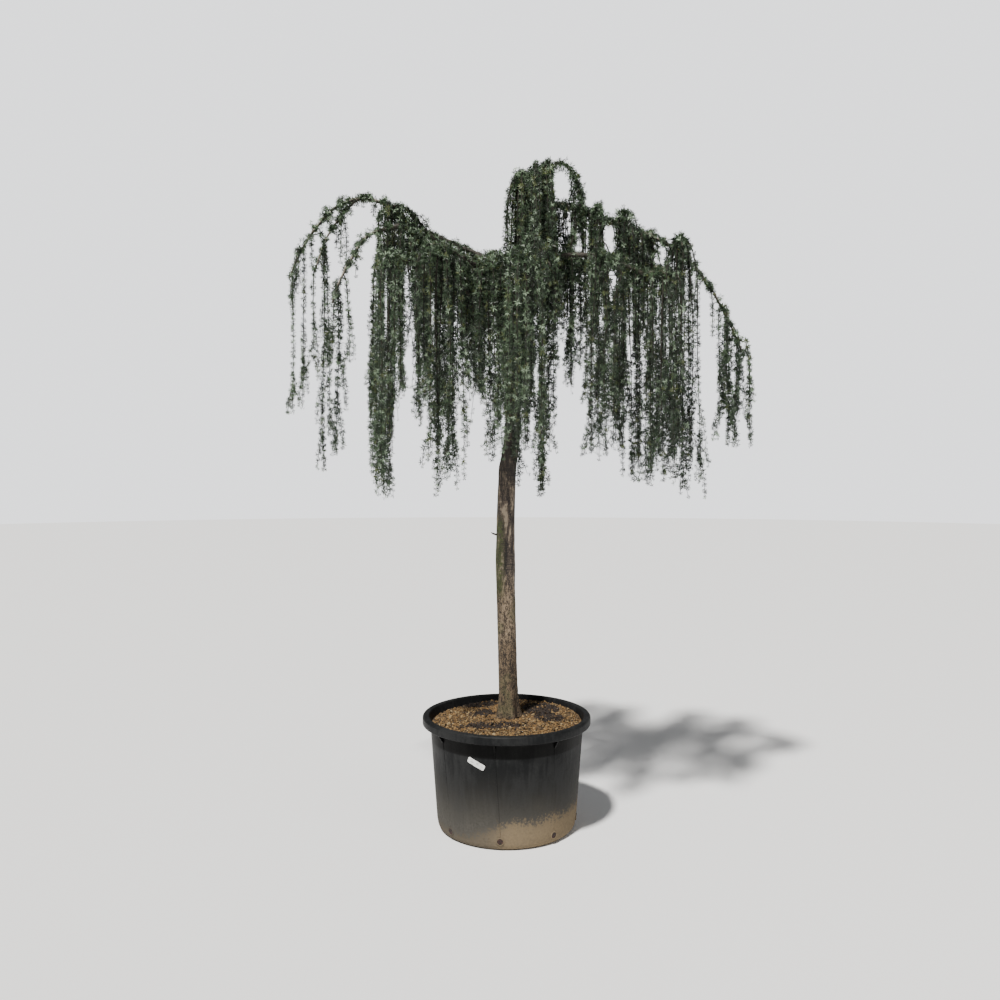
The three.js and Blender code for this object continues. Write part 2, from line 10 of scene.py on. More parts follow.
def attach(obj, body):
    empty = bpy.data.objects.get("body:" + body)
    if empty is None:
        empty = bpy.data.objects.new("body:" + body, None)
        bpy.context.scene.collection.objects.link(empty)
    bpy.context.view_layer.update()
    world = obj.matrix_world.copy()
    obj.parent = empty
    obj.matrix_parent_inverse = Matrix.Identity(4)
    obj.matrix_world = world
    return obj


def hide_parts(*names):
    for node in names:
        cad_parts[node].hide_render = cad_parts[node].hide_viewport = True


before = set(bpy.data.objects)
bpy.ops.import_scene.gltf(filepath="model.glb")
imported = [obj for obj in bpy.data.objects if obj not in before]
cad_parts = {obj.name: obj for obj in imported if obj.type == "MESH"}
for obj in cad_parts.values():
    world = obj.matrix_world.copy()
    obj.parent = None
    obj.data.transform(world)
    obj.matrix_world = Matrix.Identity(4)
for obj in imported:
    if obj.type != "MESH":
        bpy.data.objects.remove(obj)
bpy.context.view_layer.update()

# All sizes in metres, angles in radians unless a comment says degrees
SEED = 7919
SEED_STEP = 101
GOLDEN_ANGLE = math.pi * (3 - math.sqrt(5))
PIECE_LIMIT = 190000

# Camera: level at the height of an eye, its frame moved down a little
CAMERA_PLACE = (-0.0295, -4.09, 1.58)
SENSOR_WIDTH = 36
LENS = 0.9 * SENSOR_WIDTH
FRAME_DROP = -0.0245

# Light: the sky's strength on the tree and as seen behind it, the sun, and a lamp that fills the shadows
SKY_LIGHT = 0.19
SKY_SEEN = 1.9
SUN_POWER = 6.4
SUN_FROM = (-1.3, -2.4, 4.4)
FILL_POWER = 30
FILL_FROM = (3.5, -3.0, 3.2)
FILL_TARGET = (0, 0, 1.6)
FILL_SIZE = 3.0

# Pot
POT_HEIGHT = 0.5
RIM_RADIUS = 0.38
LIP_WIDTH = 0.03
LIP_HEIGHT = 0.037
LIP_ROUND = 0.011
LIP_INNER_ROUND = 0.006
LIP_FOOT_ROUND = 0.005
LIP_UNDERSIDE = POT_HEIGHT - LIP_HEIGHT
LIP_CORNER = 0.004
WALL_TOP_RADIUS = 0.346
WALL_FOOT_RADIUS = 0.311
WALL_THICKNESS = 0.006
FLOOR_THICKNESS = 0.009
FOOT_ROUND = 0.03
WALL_WAVE = 0.0012
POT_TURNS = 192
RIB_COUNT = 8
RIB_TURN = math.radians(-98.7)
GUSSET_DEPTH = 0.024
GUSSET_HEIGHT = 0.046
GUSSET_THICKNESS = 0.006
GUSSET_OVERLAP = 0.001
RIB_SPAN = (0.062, LIP_UNDERSIDE - GUSSET_HEIGHT + 0.004)
RIB_WIDTH = 0.004
RIB_STAND = 0.0011
SEAM_STAND = 0.0022
RIB_LEAN = math.radians(3.4)
HOLE_RADIUS = 0.0145
HOLE_LEVEL = 0.042
HOLE_EDGE = 0.0022
HOLE_TURNS = 24
HOLE_DARK_STAND = 0.0009

# Soil, the dark patches of painted shadow that the crown casts on it (middle, then half width along x and y)
# and the bark chips on it
SOIL_EDGE = 0.462
SEAT_LEVEL = 0.486
SEAT_RADIUS = 0.084
SOIL_SLOPE = [(0.33, 0.4), (0.7, 0.75)]
SOIL_RISE = 0.012
SOIL_GAP = 0.0005
SEAT_BLEND = 0.05
SOIL_RIM_SHARE = 0.95
SOIL_SKIRT = 0.03
SOIL_RELIEF = 0.007
CROWN_SHADOW_PATCHES = [
    (0.16, 0.12, 0.085, 0.12), (0.19, -0.02, 0.07, 0.06), (-0.126, 0.24, 0.09, 0.06),
    (-0.07, -0.14, 0.15, 0.04), (-0.1, 0.06, 0.05, 0.06),
]
CHIP_COUNT = 6500
CHIP_LENGTH = (0.004, 0.018)
CHIP_WIDTH_SHARE = (0.3, 0.75)
CHIP_THICKNESS = (0.0015, 0.004)
CHIP_STAND = (0.001, 0.005)
CHIP_MARGIN = 0.014
CHIP_KINDS = {
    "chips_ginger": ((0.11, 0.058, 0.019), (0.26, 0.155, 0.058)),
    "chips_brown": ((0.055, 0.034, 0.015), (0.12, 0.078, 0.036)),
    "chips_dark": ((0.012, 0.008, 0.006), (0.03, 0.02, 0.014)),
    "chips_pale": ((0.2, 0.135, 0.06), (0.34, 0.245, 0.125)),
}
CHIP_SHARES = (0.42, 0.33, 0.12, 0.13)
# Most chips in the patches of painted crown shadow are dealt the dark kind
SHADOW_CHIP_KIND = 2
SHADOW_CHIP_SHARE = 0.85

# Label
LABEL_SIZE = (0.08, 0.025)
LABEL_CORNER = 0.16 * LABEL_SIZE[1]
LABEL_THICKNESS = 0.0009
LABEL_STAND = 0.0008
LABEL_LEVEL = 0.37
LABEL_TURN = math.radians(-22.5)
LABEL_TILT = math.radians(-24)

# Trunk: its axis as (x, height), then its radius at those heights
TRUNK_BASE = SEAT_LEVEL
TRUNK_AXIS = [
    (0.009, TRUNK_BASE), (0.003, 0.8), (-0.004, 1.1), (-0.005, 1.27), (0.006, 1.61),
    (0.025, 1.745), (0.034, 2.15), (0.043, 2.468), (0.061, 2.695), (0.08, 2.81),
]
TRUNK_RADII = [
    (TRUNK_BASE, 0.042), (1.27, 0.042), (1.61, 0.039), (1.9, 0.034), (2.3, 0.027), (2.7, 0.02), (2.81, 0.016),
]
FLARE = 0.016
FLARE_HEIGHT = 0.048
FLARE_LOBES = 5
FLARE_LOBE_DEPTH = 0.16
GRAFT_LEVEL = 1.17
GRAFT_SWELL = 0.0022
GRAFT_REACH = 0.07
BARK_CHANGE_LEVEL = 1.07
BARK_CHANGE_REACH = 0.05
TRUNK_AROUND = 96
TRUNK_ALONG = 520
SPUR_LEVEL = 1.305
SPUR_BENDS = [(-0.05, -0.012, 0.008), (-0.066, -0.016, 0.016)]
SPUR_RADII = (0.006, 0.003)

# Boughs, by the node's name without bough_: the limb that each leaves, where (height on the trunk, or share
# of the length on a bough), radius at root and tip, then the points that it bends through
TIP = 1
BOUGHS = {
    "left_rise": ("trunk", 2.42, (0.017, 0.009), [(-0.167, 0.02, 2.555), (-0.351, 0.04, 2.67),
        (-0.56, 0.06, 2.836)]),
    "left_arch": ("left_rise", TIP, (0.007, 0.006), [(-0.676, 0.065, 2.857), (-0.793, 0.075, 2.818),
        (-0.89, 0.09, 2.725)]),
    "left_side": ("left_arch", 0.35, (0.005, 0.0045), [(-0.765, 0.092, 2.79), (-0.835, 0.08, 2.68)]),
    "left_low_rise": ("trunk", 2.37, (0.014, 0.009), [(-0.255, -0.06, 2.572), (-0.473, -0.112, 2.686)]),
    "left_low_arch": ("left_low_rise", TIP, (0.007, 0.006), [(-0.61, -0.142, 2.63), (-0.7, -0.162, 2.49)]),
    "left_middle": ("left_rise", 0.6, (0.008, 0.007), [(-0.43, 0.015, 2.77), (-0.465, -0.005, 2.8)]),
    "left_back": ("trunk", 2.5, (0.012, 0.007), [(-0.19, 0.12, 2.64), (-0.38, 0.225, 2.75)]),
    "left_front": ("trunk", 2.33, (0.013, 0.008), [(-0.1, -0.15, 2.47), (-0.215, -0.262, 2.525)]),
    "leader": ("trunk", 2.81, (0.012, 0.008), [(0.076, -0.005, 2.855), (0.116, -0.01, 2.92),
        (0.188, -0.02, 2.957)]),
    "leader_front": ("leader", 0.35, (0.007, 0.006), [(0.076, -0.06, 2.895), (0.072, -0.098, 2.905)]),
    "leader_side": ("leader", 0.7, (0.007, 0.006), [(0.162, -0.06, 2.948), (0.182, -0.115, 2.932)]),
    "right_rise": ("trunk", 2.762, (0.014, 0.01), [(0.2, 0.005, 2.812), (0.303, 0.01, 2.799),
        (0.427, 0.02, 2.756), (0.613, 0.04, 2.697)]),
    "right_arch": ("right_rise", TIP, (0.008, 0.006), [(0.725, 0.05, 2.65), (0.847, 0.06, 2.564),
        (0.96, 0.075, 2.425)]),
    "right_inner": ("right_rise", 0.58, (0.007, 0.005), [(0.405, -0.018, 2.785), (0.408, -0.038, 2.782)]),
    "right_middle": ("right_rise", 0.8, (0.008, 0.006), [(0.52, -0.02, 2.752), (0.521, -0.048, 2.748)]),
    "right_rear": ("right_arch", 0.12, (0.007, 0.006), [(0.663, 0.085, 2.705), (0.668, 0.108, 2.703)]),
    "right_outer": ("right_arch", 0.42, (0.007, 0.006), [(0.784, 0.008, 2.65), (0.78, -0.028, 2.645)]),
    "right_front": ("trunk", 2.44, (0.014, 0.008), [(0.14, -0.062, 2.52), (0.25, -0.118, 2.55),
        (0.42, -0.2, 2.52), (0.585, -0.255, 2.44)]),
    "right_front_side": ("right_front", 0.62, (0.008, 0.006), [(0.405, -0.245, 2.52), (0.415, -0.28, 2.5)]),
    "front": ("trunk", 2.285, (0.013, 0.008), [(-0.005, -0.2, 2.44), (0.035, -0.38, 2.48),
        (0.058, -0.492, 2.46)]),
    "front_left": ("trunk", 2.245, (0.013, 0.008), [(-0.225, -0.15, 2.42), (-0.41, -0.25, 2.49),
        (-0.45, -0.372, 2.475)]),
    "back_left": ("trunk", 2.465, (0.013, 0.008), [(-0.14, 0.2, 2.6), (-0.29, 0.375, 2.64)]),
    "back": ("trunk", 2.39, (0.013, 0.008), [(0.06, 0.25, 2.6), (0.054, 0.518, 2.67)]),
    "back_right": ("trunk", 2.49, (0.013, 0.008), [(0.25, 0.22, 2.62), (0.43, 0.425, 2.64)]),
    "far_right": ("trunk", 2.35, (0.014, 0.008), [(0.33, 0.15, 2.56), (0.57, 0.26, 2.64),
        (0.73, 0.325, 2.6)]),
    "far_left": ("trunk", 2.3, (0.014, 0.008), [(-0.23, 0.072, 2.51), (-0.42, 0.128, 2.64),
        (-0.545, 0.205, 2.69), (-0.58, 0.285, 2.692)]),
    "far_back": ("trunk", 2.255, (0.014, 0.008), [(-0.01, 0.28, 2.52), (-0.095, 0.54, 2.64),
        (-0.13, 0.672, 2.635)]),
}
BOUGH_AROUND = 12
BOUGH_STEP = 0.011
ROOT_SWELL = 0.6
ROOT_SWELL_REACH = 0.03
END_SHARE = 0.35


@dataclass
class Mass:
    """A hanging mass of foliage: the limb that carries its stem, and the space that its strands fill."""

    limb: str
    centre: tuple
    spread: tuple  # half width of the space along x and y
    hem: tuple  # lowest and highest strand end
    at: float = TIP  # where the stem leaves the limb, as for a bough
    through: tuple = ()  # points that the stem bends through
    drop: tuple = (0.005, 0.06)  # of the stem, by the middle of the space and by its own end
    lift: tuple = (0.01, 0.06)  # how far strands rise before they fall
    short: float = 0.27  # share of the strands that end high up
    fill: float = 1  # how closely strands fill the space
    size: float = 1  # of needles
    dense: float = 1  # how closely sprays follow each other
    # Later rows of DEALT_OUTSIDE are darker: painted shade
    tones: tuple = (0, 3)  # rows of DEALT_OUTSIDE that its outer strands are dealt


# Masses, by the node's name without foliage_
MASSES = {
    "left_tip": Mass("left_arch", (-0.972, 0.1), (0.066, 0.072), (1.894, 2.24), drop=(0.13, 0.23), fill=0.6,
        dense=1.3),
    "left_inner": Mass("left_side", (-0.857, 0.07), (0.05, 0.068), (1.605, 1.9), drop=(0.07, 0.16), fill=0.6,
        dense=1.3),
    "left_low": Mass("left_low_arch", (-0.732, -0.18), (0.05, 0.068), (1.691, 2.15), drop=(0.08, 0.17),
        fill=0.6, dense=1.3),
    "left_middle": Mass("left_middle", (-0.535, -0.02), (0.095, 0.074), (1.5, 1.65), lift=(0.08, 0.28)),
    "left_back": Mass("left_back", (-0.44, 0.255), (0.076, 0.08), (2.09, 2.3)),
    "left_front": Mass("left_front", (-0.296, -0.35), (0.118, 0.092), (1.52, 1.73), lift=(0.01, 0.28)),
    "behind_trunk": Mass("trunk", (-0.17, 0.17), (0.072, 0.072), (1.936, 2.05), at=2.56,
        through=[(-0.09, 0.09, 2.6)]),
    "front_of_trunk": Mass("trunk", (-0.072, -0.3), (0.094, 0.082), (1.666, 1.8), at=2.375,
        through=[(-0.03, -0.15, 2.5)], lift=(0.01, 0.2)),
    "leader_front": Mass("leader_front", (0.062, -0.155), (0.058, 0.072), (1.56, 1.7), short=0.65,
        fill=1.7),
    "leader_side": Mass("leader_side", (0.172, -0.172), (0.036, 0.066), (1.514, 1.7), short=0.8, fill=1.9),
    "leader_tip": Mass("leader", (0.298, -0.05), (0.062, 0.068), (1.605, 1.9),
        through=[(0.242, -0.025, 2.992), (0.3, -0.032, 2.94), (0.334, -0.04, 2.8)], drop=(0.14, 0.23)),
    "right_inner": Mass("right_inner", (0.41, -0.085), (0.05, 0.06), (1.65, 1.925)),
    # The masses on the right take the darker rows of needle colours, as painted shade
    "right_middle": Mass("right_middle", (0.53, -0.105), (0.068, 0.074), (1.582, 1.7), short=0.4,
        tones=(3, 4)),
    "right_rear": Mass("right_rear", (0.677, 0.162), (0.074, 0.076), (1.56, 1.7), short=0.4, tones=(3, 4)),
    "right_outer": Mass("right_outer", (0.776, -0.088), (0.092, 0.078), (1.502, 1.72), short=0.35,
        tones=(3, 4)),
    "right_tip": Mass("right_arch", (1.052, 0.09), (0.104, 0.082), (1.735, 1.96), drop=(0.17, 0.28),
        fill=0.75, size=1.05, dense=1.3),
    "front_right": Mass("trunk", (0.165, -0.345), (0.068, 0.078), (1.52, 1.7), at=2.4,
        through=[(0.118, -0.1, 2.48), (0.13, -0.24, 2.5)], lift=(0.05, 0.6), short=0.75),
    # These masses take the darker rows of needle colours too, as painted shade
    "right_front": Mass("right_front", (0.655, -0.305), (0.092, 0.082), (1.561, 1.72), lift=(0.03, 0.35),
        short=0.5, tones=(2, 4)),
    "right_front_side": Mass("right_front_side", (0.43, -0.35), (0.084, 0.074), (1.687, 1.85),
        lift=(0.03, 0.45), short=0.4, tones=(2, 4)),
    "front": Mass("front", (0.06, -0.57), (0.094, 0.078), (1.69, 1.85), lift=(0.02, 0.45), short=0.45),
    "front_left": Mass("front_left", (-0.49, -0.45), (0.066, 0.078), (1.521, 1.7), lift=(0.03, 0.4)),
    "back_left": Mass("back_left", (-0.35, 0.455), (0.096, 0.088), (1.85, 2), fill=1.3),
    "back": Mass("back", (0.05, 0.605), (0.102, 0.092), (1.85, 2), fill=1.3),
    "back_right": Mass("back_right", (0.5, 0.505), (0.102, 0.092), (1.965, 2.1), fill=1.3),
    "far_right": Mass("far_right", (0.802, 0.355), (0.084, 0.084), (1.7, 1.9)),
    "far_left": Mass("far_left", (-0.602, 0.355), (0.084, 0.084), (1.7, 1.9)),
    "far_back": Mass("far_back", (-0.15, 0.752), (0.094, 0.084), (2.03, 2.15)),
}

# Stem of a mass
STEM_PAST_MIDDLE = 0.6
STEM_ROOT_RADIUS = 0.009
STEM_ROOT_SHARE = 0.8
STEM_END_RADIUS = 0.004
STEM_ENTRY = 0.012

# Hanging strands
STRAND_GAP = 0.051
LIFT_RUN = 0.13
STRAND_SWAY = 0.012
STRAND_WAVE = 0.006
STRAND_ROOTS = (0.05, 0.95)
STRAND_OVER = 0.92
STRAND_FALL = 0.1
STRAND_RADIUS = (0.0034, 0.0012)
SHORT_REACH = 0.88
ROPE_SIZE = (0.88, 1.15)
BARE_INSIDE = (0.5, 0.78)
TRUNK_CLEARANCE = 0.05
TWIG_STEP = 0.045
TWIG_SIDES = 3

# Shoots beside a strand: their gap, place along it, drop, reach, how far past its end they hang, their size
SHOOT_GAP = 0.15
INSIDE_SHOOT_GAP = 0.3
SHOOT_PLACES = (0.12, 0.93)
SHOOT_DROP = (0.07, 0.24)
LEAST_DROP = 0.03
SHOOT_REACH = (0.018, 0.042)
SHOOT_PAST = 0.06
SHOOT_SPARE = 0.02
SHOOT_RADIUS = (0.0016, 0.0009)
SHOOT_SIZE = 0.88
SHOOT_WAVE = 0.004
SPRIG_DROOP = 0.25

# Sprays gather in rosettes along a twig. Each has places for needles, at angles from its axis in degrees
SPRAY_GAP = 0.0078
SPRAY_STAND = 0.005
SPRAY_LEAN = 0.35
ROSETTE_GAP = (0.019, 0.034)
ROSETTE_SPREAD = 0.24
ROSETTE_SIZE = (0.74, 1.2)
TIP_TAPER = 0.22
TOP_SPRAY_SIZE = 1.12
PLACES_IN_SPRAY = 10
BARE_PLACE = 5
NEEDLE_ANGLES = (18, 104)
NEEDLE_LENGTH = (0.014, 0.0205)
NEEDLE_WIDTH = 0.0041
NEEDLE_FOLD = 0.0009
NEEDLE_ROOT = 0.001
NEEDLE_WIDEST = 0.42

# Gaps where the sky shows from the front: middle (x, height) and half width and height, on the plane of the
# trunk. Strands part round the first ones and end above the second.
PARTED_GAPS = [
    (0.25, 2.907, 0.05, 0.055), (0.16, 2.875, 0.014, 0.017), (0.086, 2.845, 0.01, 0.018),
    (0.285, 2.705, 0.018, 0.047), (0.321, 2.61, 0.021, 0.038), (0.409, 2.717, 0.014, 0.023),
    (0.462, 2.674, 0.034, 0.052), (0.372, 2.585, 0.02, 0.02), (0.48, 2.486, 0.03, 0.034),
    (0.357, 2.482, 0.012, 0.016), (0.435, 2.3, 0.009, 0.08), (-0.45, 2.44, 0.01, 0.05),
    (-0.446, 2.27, 0.012, 0.1), (-0.436, 2.06, 0.022, 0.16),
]
HEM_GAPS = [
    (-0.465, 1.62, 0.058, 0.35), (-0.135, 1.72, 0.035, 0.24), (0.1, 1.58, 0.02, 0.1),
    (0.29, 1.72, 0.036, 0.27),
]
ROPE_RADIUS = 0.012
PARTING_REACH = 1.6
PARTING_START = 0.12
GAP_RAGGED = 0.013
HEM_CLEARANCE = 0.004
LEAST_GAP = 0.003
LEAST_POINTS = 7

# Needle colours by name, then the share of each on limbs, on strands inside a mass and on its outer strands.
# The shares paint light and shade: more pale and green needles on top of limbs, mostly shade colours inside a
# mass, and the rows for outer strands from lighter to darker.
NEEDLE_COLOURS = {
    "needles_shade": (0.01, 0.019, 0.009),
    "needles_deep": (0.024, 0.043, 0.021),
    "needles_green": (0.062, 0.1, 0.051),
    # Pale glaucous needles, dealt mostly on top and outside as painted highlights
    "needles_frost_highlight": (0.28, 0.37, 0.25),
    "needles_olive": (0.095, 0.118, 0.042),
}
DEALT_LIT_ON_TOP = (0.1, 0.26, 0.4, 0.19, 0.05)
DEALT_SHADED_INSIDE = (0.56, 0.32, 0.08, 0.01, 0.03)
DEALT_OUTSIDE = [
    (0.1, 0.26, 0.38, 0.18, 0.08), (0.16, 0.34, 0.28, 0.08, 0.14),
    (0.34, 0.38, 0.2, 0.04, 0.04), (0.52, 0.28, 0.11, 0.05, 0.04),
]


@dataclass
class Cover:
    """How leafy a limb is: sprigs all round it, and shoots that hang from it."""

    first: float = 0.2  # share of its length where leaves begin
    gap: float = 0.006  # between sprigs
    sprig: tuple = (0.015, 0.045)  # length
    clump: float = 0  # gap between the clumps that sprigs gather in, none where 0
    lift: float = 0.3  # how much sprigs turn upwards
    hang_gap: float = 0.024  # between hanging shoots
    hang: tuple = (0.06, 0.4)  # their drop
    rise: float = 0.02  # how far they rise first
    reach: tuple = (0.015, 0.075)  # how far out they come down
    forward: float = 0  # how far forward they lean


# Covers of the limbs that are leafy in their own way, then of the stems of masses and of thin masses
LEAFY_LIMBS = {
    "left_rise": Cover(first=0.25, gap=0.0045, sprig=(0.01, 0.03), lift=-0.9, hang_gap=0.011, rise=-0.01),
    "left_middle": Cover(first=0.6, gap=0.005, sprig=(0.008, 0.02), lift=-0.6, hang_gap=0.008,
        hang=(0.08, 0.5), rise=-0.02),
    "left_back": Cover(first=0.4, sprig=(0.01, 0.03), lift=-0.6, rise=-0.01),
    "left_arch": Cover(first=0, gap=0.0035, sprig=(0.018, 0.05), clump=0.1, lift=0.9, hang_gap=0.13),
    "left_side": Cover(first=0.1, gap=0.005, sprig=(0.01, 0.035), clump=0.06, lift=0.2, hang_gap=0.1),
    "left_low_rise": Cover(first=0.3, gap=0.0045, lift=0.1, hang_gap=0.013),
    "left_low_arch": Cover(first=0, gap=0.0045, sprig=(0.012, 0.034), clump=0.05, lift=0.6, hang_gap=0.12),
    "leader": Cover(first=0, gap=0.002, sprig=(0.015, 0.05), hang_gap=0.011, hang=(0.05, 0.3)),
    "leader_front": Cover(first=0, gap=0.002, sprig=(0.015, 0.05), hang_gap=0.004, hang=(0.2, 0.75),
        reach=(0.02, 0.1), forward=0.22),
    "leader_side": Cover(first=0, gap=0.0025, sprig=(0.012, 0.03), hang_gap=0.006, hang=(0.25, 0.8),
        lift=0.2, reach=(0.02, 0.09), forward=0.24),
    "right_rise": Cover(first=0.05, gap=0.0035, sprig=(0.015, 0.045), hang_gap=0.0048, hang=(0.05, 0.55)),
    "right_arch": Cover(first=0, gap=0.0038, sprig=(0.012, 0.035), clump=0.06, lift=0.5, hang_gap=0.06),
    "trunk": Cover(first=0.72, gap=0.006, sprig=(0.025, 0.06), hang_gap=0.012, hang=(0.1, 0.5), lift=0.2),
}
STEM_COVER = Cover(
    first=0.05, gap=0.005, lift=0.1, hang_gap=0.02, hang=(0.04, 0.25), rise=0.008, reach=(0.01, 0.03)
)
THIN_STEM_COVER = Cover(
    first=0.05, gap=0.009, sprig=(0.01, 0.03), clump=0.04, hang_gap=0.08, hang=(0.04, 0.2)
)


def mix(a, b, share):
    return a + (b - a) * share


# Lines and tubes


def even(points, steps):
    """The same line with its points spaced evenly."""
    lengths = np.linalg.norm(np.diff(points, axis=0), axis=1)
    along = np.concatenate([[0], np.cumsum(lengths)])
    wanted = np.linspace(0, along[-1], steps + 1)
    return np.column_stack([np.interp(wanted, along, points[:, axis]) for axis in range(3)])


def smooth_line(points, steps=200):
    """Points spaced evenly along the smooth line that passes through these ones."""
    through = np.array(points, float)
    ends = np.vstack([2 * through[0] - through[1], through, 2 * through[-1] - through[-2]])
    fine = [through[:1]]
    for a, b, c, d in zip(ends, ends[1:], ends[2:], ends[3:]):
        gaps = [math.sqrt(np.linalg.norm(q - p)) for p, q in ((a, b), (b, c), (c, d))]
        ta, tb, tc, td = np.cumsum([0, *gaps])
        t = np.linspace(tb, tc, 33)[1:, None]
        ab = mix(a, b, (t - ta) / (tb - ta))
        bc = mix(b, c, (t - tb) / (tc - tb))
        cd = mix(c, d, (t - tc) / (td - tc))
        abc = mix(ab, bc, (t - ta) / (tc - ta))
        bcd = mix(bc, cd, (t - tb) / (td - tb))
        fine.append(mix(abc, bcd, (t - tb) / (tc - tb)))
    return even(np.vstack(fine), steps)


def line_length(points):
    return float(np.linalg.norm(np.diff(points, axis=0), axis=1).sum())


def at_share(points, share):
    """The point at a share of a line's length, where the line's points are evenly spaced."""
    place = share * (len(points) - 1)
    low = min(int(place), len(points) - 2)
    return mix(points[low], points[low + 1], place - low)


def unit(vectors):
    return vectors / np.maximum(np.linalg.norm(vectors, axis=-1, keepdims=True), 1e-9)


def around(turn, first, second):
    """The direction at a turn from one direction towards another that is square to it."""
    return np.cos(turn)[..., None] * first + np.sin(turn)[..., None] * second


def directions(points):
    """Directions along a line, across it on the level, and square to both."""
    way = points[-1] - points[0]
    level = np.array([-way[1], way[0], 0.0])
    level = unit(level) if np.linalg.norm(level) > 1e-4 else np.array([1.0, 0.0, 0.0])
    along = unit(np.gradient(points, axis=0))
    across = unit(np.cross(level, along))
    return along, across, np.cross(along, across)


def tube(points, radii, sides):
    """Corners and faces of a slim tube along a line."""
    _, across, over = directions(points)
    turns = np.arange(sides) * math.tau / sides
    corners = points[:, None] + radii[:, None, None] * around(turns, across[:, None], over[:, None])
    ring, side = np.meshgrid(np.arange(len(points) - 1), np.arange(sides), indexing="ij")
    a = ring * sides + side
    b = ring * sides + (side + 1) % sides
    faces = np.stack([a, b, b + sides, a, b + sides, a + sides], axis=-1)
    return corners.reshape(-1, 3), faces.reshape(-1, 3)


# Pieces


def put(name, data, place=(0, 0, 0)):
    """A new object in the scene."""
    made = bpy.data.objects.new(name, data)
    made.location = place
    bpy.context.scene.collection.objects.link(made)
    return made


def keep_piece(mesh, finish, slot, *nodes):
    """Makes a finished mesh a piece of the tree that replaces these nodes."""
    mesh.materials.append(finish)
    piece = put(mesh.name, mesh)
    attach(piece, "root")
    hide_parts(*nodes)


def mesh_of(shape, name, smooth=True):
    """Turns a bmesh into a mesh with its faces outwards."""
    bmesh.ops.recalc_face_normals(shape, faces=shape.faces)
    for face in shape.faces:
        face.smooth = smooth
    mesh = bpy.data.meshes.new(name)
    shape.to_mesh(mesh)
    shape.free()
    return mesh


def take_in(shape, part):
    """Adds one bmesh to another."""
    mesh = mesh_of(part, "part")
    shape.from_mesh(mesh)
    bpy.data.meshes.remove(mesh)


class Heap:
    """Many small things of one kind, joined into pieces of a limited size."""

    def __init__(self, name, finish, slot, *nodes):
        self.name = name
        self.kept = (finish, slot, *nodes)
        self.batches = []

    def add_alike(self, corners, faces):
        """Adds things of one shape, by the corners of each and the faces of one."""
        starts = corners.shape[1] * np.arange(len(corners))
        self.batches.append((corners.reshape(-1, 3), (faces + starts[:, None, None]).reshape(-1, 3)))

    def finish_pieces(self):
        groups = [[]]
        for batch in self.batches:
            if sum(len(faces) for _, faces in groups[-1]) + len(batch[1]) > PIECE_LIMIT:
                groups.append([])
            groups[-1].append(batch)
        for number, group in enumerate(groups, 1):
            self.join(f"{self.name}_{number}", group)

    def join(self, name, group):
        starts = np.cumsum([0, *(len(corners) for corners, _ in group[:-1])])
        corners = np.vstack([corners for corners, _ in group])
        faces = np.vstack([faces + start for (_, faces), start in zip(group, starts)])
        mesh = bpy.data.meshes.new(name)
        mesh.vertices.add(len(corners))
        mesh.vertices.foreach_set("co", corners.astype(np.float32).ravel())
        mesh.loops.add(faces.size)
        mesh.loops.foreach_set("vertex_index", faces.astype(np.int32).ravel())
        mesh.polygons.add(len(faces))
        mesh.polygons.foreach_set("loop_start", np.arange(0, faces.size, 3, dtype=np.int32))
        mesh.update(calc_edges=True)
        keep_piece(mesh, *self.kept)


def rolled(sides, steps, place):
    """A grid rolled into a tube: place gives the point at a turn and a share of the length."""
    shape = bmesh.new()
    bmesh.ops.create_grid(shape, x_segments=sides, y_segments=steps, size=0.5)
    for corner in shape.verts:
        corner.co = place(math.tau * (corner.co.x + 0.5), corner.co.y + 0.5)
    bmesh.ops.remove_doubles(shape, verts=shape.verts, dist=1e-6)
    bmesh.ops.holes_fill(shape, edges=[edge for edge in shape.edges if edge.is_boundary], sides=0)
    return shape


# Materials


class Shade:
    """A number or colour that varies over a surface. Arithmetic on numbers adds Math nodes."""

    def __init__(self, finish, socket):
        self.finish = finish
        self.socket = socket

    def maths(self, operation, *terms):
        return self.finish.node("Math", {"operation": operation}, dict(enumerate(terms)))

    def __add__(self, other):
        return self.maths("ADD", self, other)

    def __sub__(self, other):
        return self.maths("SUBTRACT", self, other)

    def __rsub__(self, other):
        return self.maths("SUBTRACT", other, self)

    def __mul__(self, other):
        return self.maths("MULTIPLY", self, other)

    def __abs__(self):
        return self.maths("ABSOLUTE", self)

    __radd__ = __add__
    __rmul__ = __mul__

    def about(self, reach):
        """A noise moved to lie about 0, over this reach."""
        return (self - 0.5) * reach

    def between(self, low, high):
        """0 below low, 1 above high, and a smooth rise in between."""
        settings = {"interpolation_type": "SMOOTHSTEP"}
        return self.finish.node("MapRange", settings, {0: self, 1: low, 2: high})


